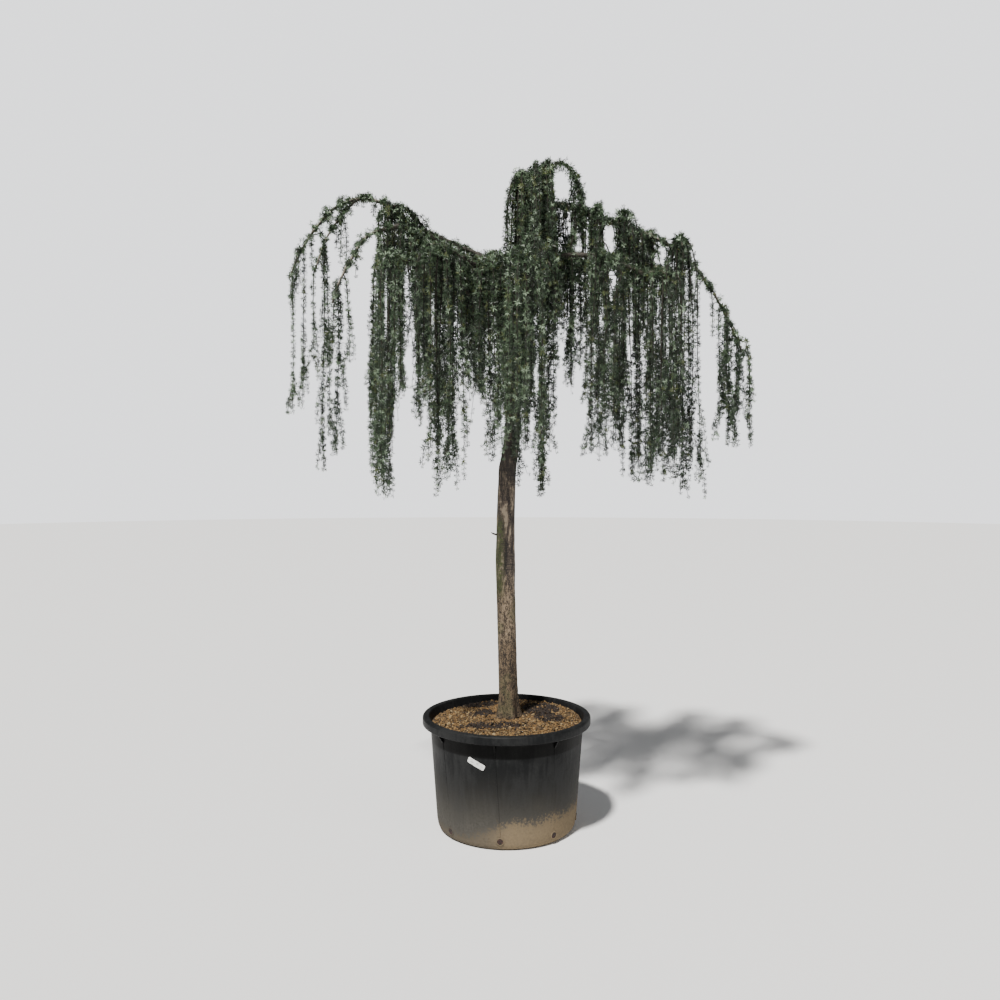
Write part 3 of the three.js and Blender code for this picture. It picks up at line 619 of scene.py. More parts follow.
class Finish:
    """A material built from nodes that all come from node()."""

    def __init__(self, name):
        self.material = bpy.data.materials.new(name)
        self.material.use_nodes = True
        self.tree = self.material.node_tree
        self.surface = self.tree.nodes["Principled BSDF"]
        self.place = self.node("TexCoord", {}, {}, "Object")

    def node(self, kind, settings, sockets, output=0):
        made = self.tree.nodes.new("ShaderNode" + kind)
        for name, value in settings.items():
            setattr(made, name, value)
        for name, value in sockets.items():
            self.set(made.inputs[name], value)
        return Shade(self, made.outputs[output])

    def set(self, socket, value):
        if isinstance(value, Shade):
            self.tree.links.new(value.socket, socket)
        else:
            socket.default_value = (*value, 1) if socket.type == "RGBA" else value

    def noise(self, scale, detail=3):
        """Noise at one scale, or at a scale for each axis."""
        place = self.place
        if isinstance(scale, tuple):
            place = self.node("Mapping", {}, {"Vector": place, "Scale": scale})
            scale = 1
        return self.node("TexNoise", {}, {"Vector": place, "Scale": scale, "Detail": detail})

    def along(self, axis):
        return self.node("SeparateXYZ", {}, {0: self.place}, axis)

    def blend(self, first, second, share):
        return self.node("Mix", {"data_type": "RGBA"}, {0: share, 6: first, 7: second}, 2)

    def bump(self, height, distance):
        made = self.node("Bump", {}, {"Height": height, "Distance": distance})
        self.set(self.surface.inputs["Normal"], made)

    def paint(self, colour, roughness):
        self.set(self.surface.inputs["Base Color"], colour)
        self.set(self.surface.inputs["Roughness"], roughness)
        return self.material


def pot_plastic():
    """Black moulded plastic: dusty brown at the foot, where rain has splashed it, and streaked above, with a
    near-black band of painted shadow on the wall just under the lip.
    """
    finish = Finish("pot_plastic")
    finish.surface.inputs["Specular IOR Level"].default_value = 0.07
    height, across = finish.along("Z"), finish.along("X")
    streaks = finish.noise((62, 62, 8), 4)
    cloud = finish.noise(7)
    grain = finish.noise(105, 4)
    top = across.between(-0.19, 0.04) * 0.085 + 0.035
    ragged = cloud.about(0.06) + streaks.about(0.05) + grain.about(0.13)
    splash = 1 - (height + ragged - top).between(-0.025, 0.03)
    uneven = cloud.about(0.14) + streaks.about(0.07) + grain.about(0.1)
    dust = 1 - (height + uneven).between(0.06, 0.41)
    smear = (streaks * 0.6 + cloud * 0.9 + grain * 0.3).between(0.75, 1.1)
    # black is the painted shadow that the lip casts on the wall under it; weathered is the plastic's own
    # colour
    black = finish.blend((0.0015, 0.0015, 0.0015), (0.005, 0.005, 0.0049), smear)
    weathered = finish.blend((0.008, 0.0085, 0.009), (0.019, 0.0195, 0.0198), smear)
    lip = height.between(LIP_UNDERSIDE - 0.002, LIP_UNDERSIDE + 0.001)
    # Painted shadow: the wall from 0.4 m up to the underside of the lip takes the near-black colour
    plastic = finish.blend(weathered, black, height.between(0.39, 0.4) * (1 - lip))
    dusty = finish.blend(plastic, (0.085, 0.079, 0.068), dust * dust * (0.15 + 0.35 * streaks + 0.7 * grain))
    right = across.between(-0.1, 0.02) * 0.6 + 0.4
    stained = finish.blend(dusty, (0.2, 0.15, 0.09), splash * right * (0.4 + 0.7 * grain))
    finish.bump(streaks * 0.35 + grain * 0.5 + cloud, 0.0007)
    return finish.paint(stained, 0.5 + 0.25 * dust + 0.2 * splash)


def drain_hole_dark():
    # The hole is a disc of painted shade, mottled dark reddish
    finish = Finish("drain_hole_dark")
    hole_mottle = finish.noise(160, 2).between(0.4, 0.7)
    return finish.paint(finish.blend((0.008, 0.004, 0.003), (0.04, 0.012, 0.008), hole_mottle), 0.8)


def label_plastic():
    """White plastic tag, blank, with grey streaks of painted shade in its crinkles."""
    finish = Finish("label_plastic")
    # Grey streaks stretched along the tag: painted shade in its crinkles
    crinkle_shade = finish.noise((60, 60, 170), 4).between(0.5, 0.62)
    finish.bump(finish.noise(70), 0.0015)
    return finish.paint(finish.blend((0.74, 0.75, 0.73), (0.3, 0.29, 0.26), crinkle_shade * 0.7), 0.38 + 0.2 * crinkle_shade)


def potting_mix():
    """Ginger-brown mix of bark fines with dark patches of painted shadow from the crown."""
    finish = Finish("potting_mix")
    crumbs = finish.noise(260, 4)
    patches = finish.noise(16)
    across, deep = finish.along("X"), finish.along("Y")
    # Painted shadow of the crown: dark dapples from noise and the listed patches
    crown_shadow = patches.between(0.6, 0.68)
    for x, y, half_width, half_depth in CROWN_SHADOW_PATCHES:
        off_x, off_y = (across - x) * (1 / half_width), (deep - y) * (1 / half_depth)
        near = off_x * off_x + off_y * off_y + patches.about(3)
        crown_shadow = crown_shadow.maths("MAXIMUM", crown_shadow, 1 - near.between(0.5, 1.2))
    dry = finish.blend((0.085, 0.047, 0.018), (0.22, 0.135, 0.052), crumbs.between(0.38, 0.66))
    finish.bump(crumbs + finish.noise(700, 2) * 0.5, 0.003)
    return finish.paint(finish.blend(dry, (0.018, 0.012, 0.009), crown_shadow * 0.9), 0.92)


def chip_finish(name, dark, pale):
    finish = Finish(name)
    grain = finish.noise((90, 400, 400))
    finish.bump(grain, 0.0008)
    return finish.paint(finish.blend(dark, pale, grain.between(0.35, 0.65)), 0.9)


def trunk_bark():
    """Fine-grained brown bark low down, dark bark with pale runs above, moss on the left in between, and
    painted shade from the crown darkening the top.
    """
    finish = Finish("trunk_bark")
    height = finish.along("Z")
    cloud = finish.noise(9)
    grain = finish.noise(330, 4)
    specks = finish.noise(170)
    runs = finish.noise((60, 60, 11), 4)
    rings = finish.noise((9, 9, 75))
    flecks = finish.noise((150, 150, 55), 4)
    coarse = (grain * 0.4 + flecks * 0.4 + runs * 0.2).between(0.44, 0.57)
    dull = finish.blend((0.012, 0.008, 0.005), (0.15, 0.105, 0.063), coarse)
    pale = finish.blend((0.024, 0.016, 0.01), (0.25, 0.185, 0.12), coarse)
    brown = finish.blend(dull, pale, (height + cloud.about(0.2)).between(0.78, 0.86))
    olive = finish.blend(brown, (0.085, 0.08, 0.035), cloud.between(0.5, 0.64) * 0.5)
    lower = finish.blend((0.009, 0.007, 0.005), olive, specks.between(0.35, 0.43))
    black = (0.012, 0.009, 0.008)
    dark = finish.blend(black, (0.13, 0.1, 0.074), (runs * 0.4 + grain * 0.6).between(0.44, 0.58))
    streaked = finish.blend(dark, (0.33, 0.265, 0.19), (runs * 0.6 + flecks * 0.4).between(0.54, 0.6) * 0.75)
    # Painted shade: the top of the trunk, under the crown, blends to near-black
    crown_shade = (height + cloud.about(0.1)).between(1.5, 1.58) * 0.7
    ringed = finish.blend(streaked, black, rings.between(0.57, 0.65) * 0.65 * (1 - crown_shade) + crown_shade)
    bark = finish.blend(lower, ringed, (height + cloud.about(0.3)).between(0.98, 1.18))
    left = 1 - finish.along("X").between(-0.03, 0.0)
    mossy = height.between(1.0, 1.08) * (1 - height.between(1.34, 1.42)) * left * specks.between(0.38, 0.56)
    finish.bump(flecks + runs * 0.5 + grain * 0.5 + specks * 0.5, 0.003)
    return finish.paint(finish.blend(bark, (0.06, 0.078, 0.022), mossy * 0.85), 0.88)


def bough_bark():
    """Thin grey-brown bark, with a painted highlight on top of the outer boughs, where sunlight falls on
    them.
    """
    finish = Finish("bough_bark")
    grain = finish.noise(150, 4)
    patches = finish.noise(28)
    upward = finish.node("SeparateXYZ", {}, {0: finish.node("NewGeometry", {}, {}, "Normal")}, "Z")
    # above is painted sunlight: pale on the upward faces of boughs more than about 0.6 m out from the trunk
    above = upward.between(-0.3, 0.5) * abs(finish.along("X")).between(0.52, 0.66)
    mottled = (grain * 0.6 + patches * 0.4).between(0.36, 0.64)
    bark = finish.blend((0.018, 0.015, 0.012), (0.07, 0.06, 0.048), mottled)
    finish.bump(grain + patches * 0.5, 0.0015)
    return finish.paint(finish.blend(bark, (0.5, 0.45, 0.37), above * 0.9), 0.82)


# Pot


def arc(centre, radius, start, end, steps):
    turns = (mix(start, end, step / steps) for step in range(steps + 1))
    return [(centre[0] + radius * math.cos(turn), centre[1] + radius * math.sin(turn)) for turn in turns]


def wall_radius(height):
    return mix(WALL_FOOT_RADIUS, WALL_TOP_RADIUS, height / LIP_UNDERSIDE)


def hollow_profile():
    """The inside of the pot from the middle of its floor up to the lip."""
    radius = FOOT_ROUND - FLOOR_THICKNESS
    foot = arc((WALL_FOOT_RADIUS - FOOT_ROUND, FOOT_ROUND), radius, -math.pi / 2, 0, 5)
    return [(0, FLOOR_THICKNESS), *foot, (wall_radius(LIP_UNDERSIDE) - WALL_THICKNESS, LIP_UNDERSIDE)]


def hollow_radius(height):
    (foot, low), (lip, high) = hollow_profile()[-2:]
    return mix(foot, lip, (height - low) / (high - low))


def spun(profile, turns, ring=False):
    """A shape of revolution from its outline, which closes on itself for a ring."""
    shape = bmesh.new()
    corners = [shape.verts.new((radius, 0, height)) for radius, height in profile]
    ends = corners[1:] + corners[:1] if ring else corners[1:]
    edges = [shape.edges.new(pair) for pair in zip(corners, ends)]
    turn = dict(cent=(0, 0, 0), axis=(0, 0, 1), angle=math.tau, steps=turns, use_merge=True)
    bmesh.ops.spin(shape, geom=corners + edges, **turn)
    bmesh.ops.remove_doubles(shape, verts=shape.verts, dist=1e-6)
    return shape


def pot_body():
    foot_round, inner_round, quarter = LIP_FOOT_ROUND, LIP_INNER_ROUND, math.pi / 2
    inner = RIM_RADIUS - LIP_WIDTH + inner_round
    lip = (
        arc((RIM_RADIUS - foot_round, LIP_UNDERSIDE + foot_round), foot_round, -quarter, 0, 4)
        + arc((RIM_RADIUS - LIP_ROUND, POT_HEIGHT - LIP_ROUND), LIP_ROUND, 0, quarter, 8)
        + arc((inner, POT_HEIGHT - inner_round), inner_round, quarter, math.pi, 4)
    )
    wall = [(wall_radius(level), level) for level in np.linspace(FOOT_ROUND, LIP_UNDERSIDE - LIP_CORNER, 40)]
    beside = (wall_radius(LIP_UNDERSIDE) + LIP_CORNER, LIP_UNDERSIDE - LIP_CORNER)
    corner = arc(beside, LIP_CORNER, math.pi, quarter, 3)
    foot = arc((WALL_FOOT_RADIUS - FOOT_ROUND, FOOT_ROUND), FOOT_ROUND, -quarter, 0, 8)
    shape = spun([(0, 0), *foot, *wall[1:], *corner, *lip, *reversed(hollow_profile())], POT_TURNS)
    for vertex in shape.verts:
        out = Vector((vertex.co.x, vertex.co.y, 0))
        if FOOT_ROUND < vertex.co.z < LIP_UNDERSIDE and out.length > WALL_FOOT_RADIUS / 2:
            wave = noise.noise(Vector((vertex.co.x * 5, vertex.co.y * 5, vertex.co.z * 4)))
            vertex.co += out.normalized() * WALL_WAVE * (wave - 0.6)
    return mesh_of(shape, "nursery_pot")


def gusset(shape, turn):
    """A thin fin under the lip."""
    top = LIP_UNDERSIDE + GUSSET_OVERLAP
    foot = LIP_UNDERSIDE - GUSSET_HEIGHT
    root = WALL_THICKNESS / 2
    radius = wall_radius(top)
    outline = [(radius - root, top), (wall_radius(foot) - root, foot), (radius + GUSSET_DEPTH, top)]
    corners = [shape.verts.new((out, -GUSSET_THICKNESS / 2, height)) for out, height in outline]
    grown = bmesh.ops.extrude_face_region(shape, geom=[shape.faces.new(corners)])["geom"]
    far = [part for part in grown if isinstance(part, bmesh.types.BMVert)]
    bmesh.ops.translate(shape, verts=far, vec=(0, GUSSET_THICKNESS, 0))
    bmesh.ops.rotate(shape, verts=corners + far, cent=(0, 0, 0), matrix=Matrix.Rotation(turn, 3, "Z"))


def wall_rib(shape, turn, stand):
    """A faint upright line moulded on the wall, leaning a little."""

    def place(side, share):
        height = mix(*RIB_SPAN, share)
        radius = wall_radius(height) - WALL_WAVE * 0.5 + stand * math.cos(side)
        angle = turn + RIB_LEAN * (1 - share) + math.sin(side) * RIB_WIDTH / 2 / radius
        return Vector((radius * math.cos(angle), radius * math.sin(angle), height))

    take_in(shape, rolled(8, 12, place))


def drain_hole(rings, dark, turn):
    """A raised round edge at the foot of the wall, and inside it a dark disc of painted shade for the hole.
    """
    lean = math.atan2(WALL_TOP_RADIUS - WALL_FOOT_RADIUS, LIP_UNDERSIDE)
    middle = Matrix.Translation((wall_radius(HOLE_LEVEL), 0, HOLE_LEVEL))
    face_out = Matrix.Rotation(turn, 4, "Z") @ middle @ Matrix.Rotation(math.pi / 2 + lean, 4, "Y")
    ring = spun(arc((HOLE_RADIUS, 0), HOLE_EDGE, 0, math.tau, 6)[:-1], HOLE_TURNS, ring=True)
    bmesh.ops.transform(ring, matrix=face_out, verts=ring.verts)
    take_in(rings, ring)
    disc = face_out @ Matrix.Translation((0, 0, HOLE_DARK_STAND))
    bmesh.ops.create_circle(dark, cap_ends=True, segments=HOLE_TURNS, radius=HOLE_RADIUS, matrix=disc)


def make_pot():
    plastic = pot_plastic()
    keep_piece(pot_body(), plastic, "pot_plastic", "pot")
    fins, ribs, rings, dark = (bmesh.new() for _ in range(4))
    for number in range(RIB_COUNT):
        turn = RIB_TURN + number * math.tau / RIB_COUNT
        gusset(fins, turn)
        wall_rib(ribs, turn, SEAM_STAND if number % 4 == 0 else RIB_STAND)
        drain_hole(rings, dark, turn + RIB_LEAN)
    for name, shape in {"pot_gussets": fins, "pot_ribs": ribs, "pot_drain_edges": rings}.items():
        keep_piece(mesh_of(shape, name, smooth=shape is rings), plastic, "pot_plastic", "pot")
    keep_piece(mesh_of(dark, "pot_drain_holes"), drain_hole_dark(), "pot_plastic", "pot")


def make_label():
    """A thin tag that bends with the wall, its corners rounded."""
    shape = bmesh.new()
    bmesh.ops.create_grid(shape, x_segments=20, y_segments=8, size=0.5)
    width, height = LABEL_SIZE
    for corner in shape.verts:
        z = corner.co.y * height
        near_edge = max(0, abs(z) - height / 2 + LABEL_CORNER) / LABEL_CORNER
        inset = LABEL_CORNER * (1 - math.sqrt(max(0, 1 - near_edge * near_edge)))
        x = corner.co.x * (width - 2 * inset)
        across = x * math.cos(LABEL_TILT) - z * math.sin(LABEL_TILT)
        level = LABEL_LEVEL + x * math.sin(LABEL_TILT) + z * math.cos(LABEL_TILT)
        radius = wall_radius(level) + LABEL_STAND
        turn = LABEL_TURN - math.pi / 2 + across / radius
        corner.co = (radius * math.cos(turn), radius * math.sin(turn), level)
    bmesh.ops.recalc_face_normals(shape, faces=shape.faces)
    bmesh.ops.solidify(shape, geom=shape.faces, thickness=LABEL_THICKNESS)
    keep_piece(mesh_of(shape, "blank_tag", smooth=False), label_plastic(), "blank_label", "label")


# Soil


def soil_height(x, y):
    """The level of the soil, mounded towards the trunk and to the back on the right."""
    edge = hollow_radius(SOIL_EDGE)
    reach = math.hypot(x, y)
    inward = [1, *(1 - share for share, _ in SOIL_SLOPE), 0]
    radii = [mix(SEAT_RADIUS, edge, share) for share in inward]
    levels = [SOIL_EDGE, *(mix(SOIL_EDGE, SEAT_LEVEL, share) for _, share in SOIL_SLOPE), SEAT_LEVEL]
    slope = np.interp(reach, radii[::-1], levels[::-1])
    away = min(1, max(0, reach - SEAT_RADIUS) / SEAT_BLEND)
    return float(slope) + away * SOIL_RISE * max(0, (x + y) / edge)


def make_soil():
    edge = hollow_radius(SOIL_EDGE) - SOIL_GAP

    def place(turn, share):
        radius = edge * min(1, share / SOIL_RIM_SHARE)
        x, y = radius * math.cos(turn), radius * math.sin(turn)
        lumps = noise.noise(Vector((x * 28, y * 28, 0))) + 0.5 * noise.noise(Vector((x * 90, y * 90, 3)))
        drop = SOIL_SKIRT * max(0, share - SOIL_RIM_SHARE) / (1 - SOIL_RIM_SHARE)
        return Vector((x, y, soil_height(x, y) + SOIL_RELIEF * lumps - drop))

    keep_piece(mesh_of(rolled(160, 90, place), "soil_mound"), potting_mix(), "bark_mulch", "soil")


def chip_shapes(random):
    """Corners of flat splinters that lie every way on the soil, and the faces of one."""
    count = CHIP_COUNT
    cube = np.array([(x, y, z) for x in (-0.5, 0.5) for y in (-0.5, 0.5) for z in (-0.5, 0.5)])
    sides = [(0, 1, 3, 2), (4, 6, 7, 5), (0, 4, 5, 1), (2, 3, 7, 6), (0, 2, 6, 4), (1, 5, 7, 3)]
    faces = np.array([half for a, b, c, d in sides for half in ((a, b, c), (a, c, d))])
    length = mix(*CHIP_LENGTH, random.random(count) ** 2.2)
    width = length * mix(*CHIP_WIDTH_SHARE, random.random(count))
    size = np.column_stack([length, width, mix(*CHIP_THICKNESS, random.random(count))])
    corners = (cube + 0.28 * (random.random((count, 8, 3)) - 0.5)) * size[:, None]
    roll, pitch = 0.45 * random.standard_normal((2, count))
    yaw = math.tau * random.random(count)
    for angle, (a, b) in ((roll, (1, 2)), (pitch, (0, 2)), (yaw, (0, 1))):
        cos, sin = np.cos(angle)[:, None], np.sin(angle)[:, None]
        first, second = corners[..., a].copy(), corners[..., b].copy()
        corners[..., a] = cos * first - sin * second
        corners[..., b] = sin * first + cos * second
    return corners, faces


def make_chips():
    random = np.random.default_rng(SEED)
    corners, faces = chip_shapes(random)
    reach = np.sqrt(mix(0.05, 1, random.random(CHIP_COUNT))) * (hollow_radius(SOIL_EDGE) - CHIP_MARGIN)
    turn = math.tau * random.random(CHIP_COUNT)
    x, y = reach * np.cos(turn), reach * np.sin(turn)
    level = np.array([soil_height(*place) for place in zip(x, y)])
    corners += np.column_stack([x, y, level + mix(*CHIP_STAND, random.random(CHIP_COUNT))])[:, None]
    dealt = random.choice(len(CHIP_KINDS), CHIP_COUNT, p=CHIP_SHARES)
    # Chips in the patches of painted crown shadow turn dark
    for patch_x, patch_y, half_width, half_depth in CROWN_SHADOW_PATCHES:
        near = ((x - patch_x) / half_width) ** 2 + ((y - patch_y) / half_depth) ** 2
        dealt[(near < 1) & (random.random(CHIP_COUNT) < SHADOW_CHIP_SHARE)] = SHADOW_CHIP_KIND
    for kind, (name, colours) in enumerate(CHIP_KINDS.items()):
        heap = Heap(name, chip_finish(name, *colours), "bark_mulch", "soil")
        heap.add_alike(corners[dealt == kind], faces)
        heap.finish_pieces()


# Trunk and boughs


def trunk_radius(height, turn):
    levels, radii = zip(*TRUNK_RADII)
    fade = (height - TRUNK_BASE) / FLARE_HEIGHT
    radius = float(np.interp(height, levels, radii)) + FLARE * math.exp(-fade)
    graft = GRAFT_SWELL * math.exp(-(((height - GRAFT_LEVEL) / GRAFT_REACH) ** 2))
    lobe = FLARE_LOBE_DEPTH * math.exp(-fade / 2) * math.cos(FLARE_LOBES * turn)
    return (radius + graft) * (1 + lobe)


def bark_relief(turn, height):
    """How far the bark stands out: small plates low down, long low ridges and knots above."""
    x, y = math.cos(turn), math.sin(turn)
    lower = 1 / (1 + math.exp((height - BARK_CHANGE_LEVEL) / BARK_CHANGE_REACH))
    plates = noise.ridged_multi_fractal(Vector((x * 4.5, y * 4.5, height * 38)), 1.0, 2.1, 4, 1.0, 2.0)
    ridges = noise.noise(Vector((x * 3, y * 3, height * 9)))
    knots = max(0, noise.noise(Vector((x * 1.6, y * 1.6, height * 9))) - 0.32)
    dents = noise.noise(Vector((x * 6, y * 6, height * 42)))
    above = 0.0012 * ridges + 0.008 * knots + 0.0007 * dents
    return mix(above, 0.0011 * (plates - 1) + 0.0006 * dents, lower)


# Lines of the limbs by name, each with its radius at root and tip
limbs = {"trunk": (smooth_line([(x, 0, height) for x, height in TRUNK_AXIS], 400), None)}


def make_trunk():
    axis = limbs["trunk"][0]

    def place(turn, share):
        centre = at_share(axis, share)
        radius = trunk_radius(centre[2], turn) + bark_relief(turn, centre[2])
        return Vector((centre[0] + radius * math.cos(turn), centre[1] + radius * math.sin(turn), centre[2]))

    mesh = mesh_of(rolled(TRUNK_AROUND, TRUNK_ALONG, place), "trunk_with_bark")
    keep_piece(mesh, trunk_bark(), "trunk_bark", "trunk")


def leaving_point(limb, at):
    if limb == "trunk":
        at = (at - TRUNK_BASE) / (TRUNK_AXIS[-1][1] - TRUNK_BASE)
    return at_share(limbs[limb][0], at)


def add_limb(shape, line, root, tip):
    """A tapering limb with slight knots, swollen where it leaves its parent, and round at its end."""
    steps = max(4, round(line_length(line) / BOUGH_STEP))
    points = even(line, steps)
    _, across, over = directions(points)

    def place(turn, share):
        step = round(share * steps)
        centre = Vector(points[step])
        swell = 1 + ROOT_SWELL * math.exp(-share * line_length(line) / ROOT_SWELL_REACH)
        knots = 1 + 0.16 * noise.noise(centre * 55) + 0.1 * noise.noise(centre * 140)
        radius = mix(root, tip, share) * swell * knots * (END_SHARE if step == steps else 1)
        return centre + radius * (math.cos(turn) * Vector(across[step]) + math.sin(turn) * Vector(over[step]))

    take_in(shape, rolled(BOUGH_AROUND, steps, place))


def stem_of(mass):
    """The line of a mass's stem and its radius at the root."""
    path = [leaving_point(mass.limb, mass.at), *(np.array(point) for point in mass.through)]
    centre, last = np.array(mass.centre), path[-1]
    outward = unit(centre - last[:2]) * STEM_PAST_MIDDLE * min(mass.spread)
    path.append(np.array([*centre, last[2] - mass.drop[0]]))
    path.append(np.array([*(centre + outward), last[2] - mass.drop[1]]))
    radius = STEM_ROOT_RADIUS if mass.limb == "trunk" else STEM_ROOT_SHARE * limbs[mass.limb][1][1]
    return smooth_line(path), radius


def make_boughs():
    shape = bmesh.new()
    for name, (parent, at, radii, path) in BOUGHS.items():
        line = smooth_line([leaving_point(parent, at), *path])
        limbs[name] = (line, radii)
        add_limb(shape, line, *radii)
    for mass in MASSES.values():
        add_limb(shape, *stem_of(mass), STEM_END_RADIUS)
    spur = leaving_point("trunk", SPUR_LEVEL)
    add_limb(shape, smooth_line([spur, *(spur + bend for bend in SPUR_BENDS)]), *SPUR_RADII)
    nodes = [f"bough_{name}" for name in BOUGHS]
    keep_piece(mesh_of(shape, "boughs_with_bark"), bough_bark(), "bough_bark", *nodes)


# Foliage


def seen_on_trunk_plane(points):
    """Where the front view shows points, on the upright plane through the trunk."""
    eye = np.array(CAMERA_PLACE)
    return eye + (points - eye) * (eye[1] / (eye[1] - points[..., 1:2]))


def open_to_sky(points, gaps, margin=0.0):
    """Which points lie in a gap in the crown, seen from the front."""
    gaps = np.array(gaps)
    off = seen_on_trunk_plane(points)[..., None, [0, 2]] - gaps[:, :2]
    share = np.linalg.norm(off / np.maximum(gaps[:, 2:] - margin, LEAST_GAP), axis=-1)
    return (share < 1).any(axis=-1)


def parted(line):
    """A hanging line pushed aside where it would cross a gap that strands part round."""
    ramp = np.minimum(1, np.linspace(0, 1 / PARTING_START, len(line)))
    for middle, height, half_width, half_height in PARTED_GAPS:
        seen = seen_on_trunk_plane(line)
        off, rise = seen[:, 0] - middle, seen[:, 2] - height
        nearest = np.argmin(np.abs(rise))
        short = half_width + ROPE_RADIUS - abs(off[nearest])
        if short > 0 and abs(rise[nearest]) < half_height:
            push = short * ramp * np.exp(-((rise / (PARTING_REACH * half_height)) ** 2))
            line[:, 0] += math.copysign(1, off[nearest]) * push
    return line


def trimmed(line):
    """A hanging line cut off where it would enter a gap in the hem, or nothing if too little is left."""
    inside = open_to_sky(line, HEM_GAPS, -HEM_CLEARANCE)
    if inside.any():
        line = line[: int(np.argmax(inside))]
    return line if len(line) >= LEAST_POINTS else None


class Foliage:
    """Twigs and sprays of needles, dealt out by colour."""

    def __init__(self):
        nodes = [f"foliage_{name}" for name in MASSES]
        bark = Finish("twig_bark").paint((0.02, 0.017, 0.011), 0.85)
        self.twigs = Heap("twigs", bark, "bough_bark", *nodes)
        self.needles = [
            Heap(name, Finish(name).paint(colour, 0.4), "cedar_needles", *nodes)
            for name, colour in NEEDLE_COLOURS.items()
        ]

    def leafy_twig(self, line, radii, dealt, random, size=1.0, bare=0.0, dense=1.0):
        """A twig set with sprays of needles all round it, smaller towards its tip."""
        count = max(2, round(dense * line_length(line) * (1 - bare) / SPRAY_GAP))
        points = even(line, 4 * count)
        along, across, over = directions(points)
        share = bare + (1 - bare) * (np.arange(count) + random.random(count)) / count
        rosettes = max(1, round(line_length(line) / mix(*ROSETTE_GAP, random.random())))
        rosette = np.round(share * rosettes).astype(int)
        share = (rosette + ROSETTE_SPREAD * random.standard_normal(count)) / rosettes
        share = np.clip(share, bare, 1)
        at = (share * 4 * count).astype(int)
        turn = GOLDEN_ANGLE * np.arange(count) + math.tau * random.random()
        out = around(turn + 0.5 * random.standard_normal(count), across[at], over[at])
        centres = points[at] + SPRAY_STAND * out
        axes = unit(out + SPRAY_LEAN * along[at] + 0.25 * random.standard_normal((count, 3)))
        sizes = size * (1 - TIP_TAPER * share**3) * mix(*ROSETTE_SIZE, random.random(rosettes + 1))[rosette]
        kept = ~open_to_sky(centres + GAP_RAGGED * random.standard_normal((count, 3)), PARTED_GAPS + HEM_GAPS)
        if kept.any():
            twig = points[: at[kept].max() + 1]
            steps = max(2, round(line_length(twig) / TWIG_STEP))
            thick = mix(*radii, np.linspace(0, 1, steps + 1))
            self.twigs.batches.append(tube(even(twig, steps), thick, TWIG_SIDES))
            self.sprays(centres[kept], axes[kept], sizes[kept], dealt, random)

    def sprays(self, centres, axes, sizes, dealt, random):
        """A needle at each place of each spray, but for every fifth place, which is bare."""
        places = (len(centres), PLACES_IN_SPRAY)
        number = np.arange(PLACES_IN_SPRAY)
        spread = np.radians(mix(*NEEDLE_ANGLES, np.sqrt((number + 0.5) / PLACES_IN_SPRAY)))
        spread = spread + 0.16 * random.standard_normal(places)
        turn = GOLDEN_ANGLE * number + math.tau * random.random((len(centres), 1))
        axes = axes[:, None]
        first = unit(np.cross(axes, (0.31, 0.52, 0.79)))
        way = unit(around(spread, axes, around(turn, first, np.cross(axes, first))))
        length = sizes[:, None] * mix(*NEEDLE_LENGTH, random.random(places))
        aside = unit(np.cross(way, axes) + 0.3 * random.standard_normal(way.shape))
        root = centres[:, None] + NEEDLE_ROOT * way
        tip = centres[:, None] + length[..., None] * way
        fold = NEEDLE_FOLD * np.cross(aside, way)
        middle = centres[:, None] + NEEDLE_WIDEST * length[..., None] * way + fold
        half = 0.5 * NEEDLE_WIDTH * sizes[:, None, None] * aside
        corners = np.stack([root, middle + half, tip, middle - half], axis=2)
        corners = corners[:, (number + 1) % BARE_PLACE > 0]
        kinds = random.choice(len(self.needles), len(centres), p=dealt)
        for kind, heap in enumerate(self.needles):
            heap.add_alike(corners[kinds == kind].reshape(-1, 4, 3), np.array([(0, 1, 2), (0, 2, 3)]))


def hanging_line(start, low, lift, sway):
    """From a place on a limb out to a place in plan, then straight down."""
    over = np.array([*mix(start[:2], low[:2], STRAND_OVER), start[2] + lift])
    fall = np.array([low[0] + sway[0], low[1] + sway[1], mix(start[2], low[2], STRAND_FALL)])
    t = np.linspace(0, 1, 60)[:, None]
    return (1 - t) ** 3 * start + 3 * (1 - t) ** 2 * t * over + 3 * (1 - t) * t**2 * fall + t**3 * low


def waved(line, random, reach):
    """The line with a slight wave that grows from its root."""
    share = np.linspace(0, 1, len(line))
    length = line_length(line)
    wave = np.zeros_like(line)
    for axis in (0, 1):
        phase, rate = math.tau * random.random(), mix(3, 7, random.random())
        wave[:, axis] = reach * np.sin(phase + rate * length * 2 * share) * share
    return line + wave


def touches(line, trunk):
    """Whether a hanging line would pass through the trunk."""
    free = line[len(line) // 4 :: 3]
    gaps = np.linalg.norm(free[:, None] - trunk[None, ::8], axis=2)
    return gaps.min() < TRUNK_CLEARANCE


def side_shoots(foliage, line, dealt, random, floor, size, gap, dense):
    """Short twigs that leave a strand, bend out and hang beside it."""
    for _ in range(int(line_length(line) / gap + random.random())):
        root = at_share(line, mix(*SHOOT_PLACES, math.sqrt(random.random())))
        turn = math.tau * random.random()
        reach = mix(*SHOOT_REACH, random.random())
        drop = min(mix(*SHOOT_DROP, random.random()), root[2] - floor + SHOOT_SPARE)
        if drop < LEAST_DROP:
            continue
        t = np.linspace(0, 1, 20)
        out = reach * (1 - (1 - t) ** 2)
        shoot = root + np.column_stack([out * math.cos(turn), out * math.sin(turn), -drop * t])
        foliage.leafy_twig(shoot, SHOOT_RADIUS, dealt, random, SHOOT_SIZE * size, dense=dense)


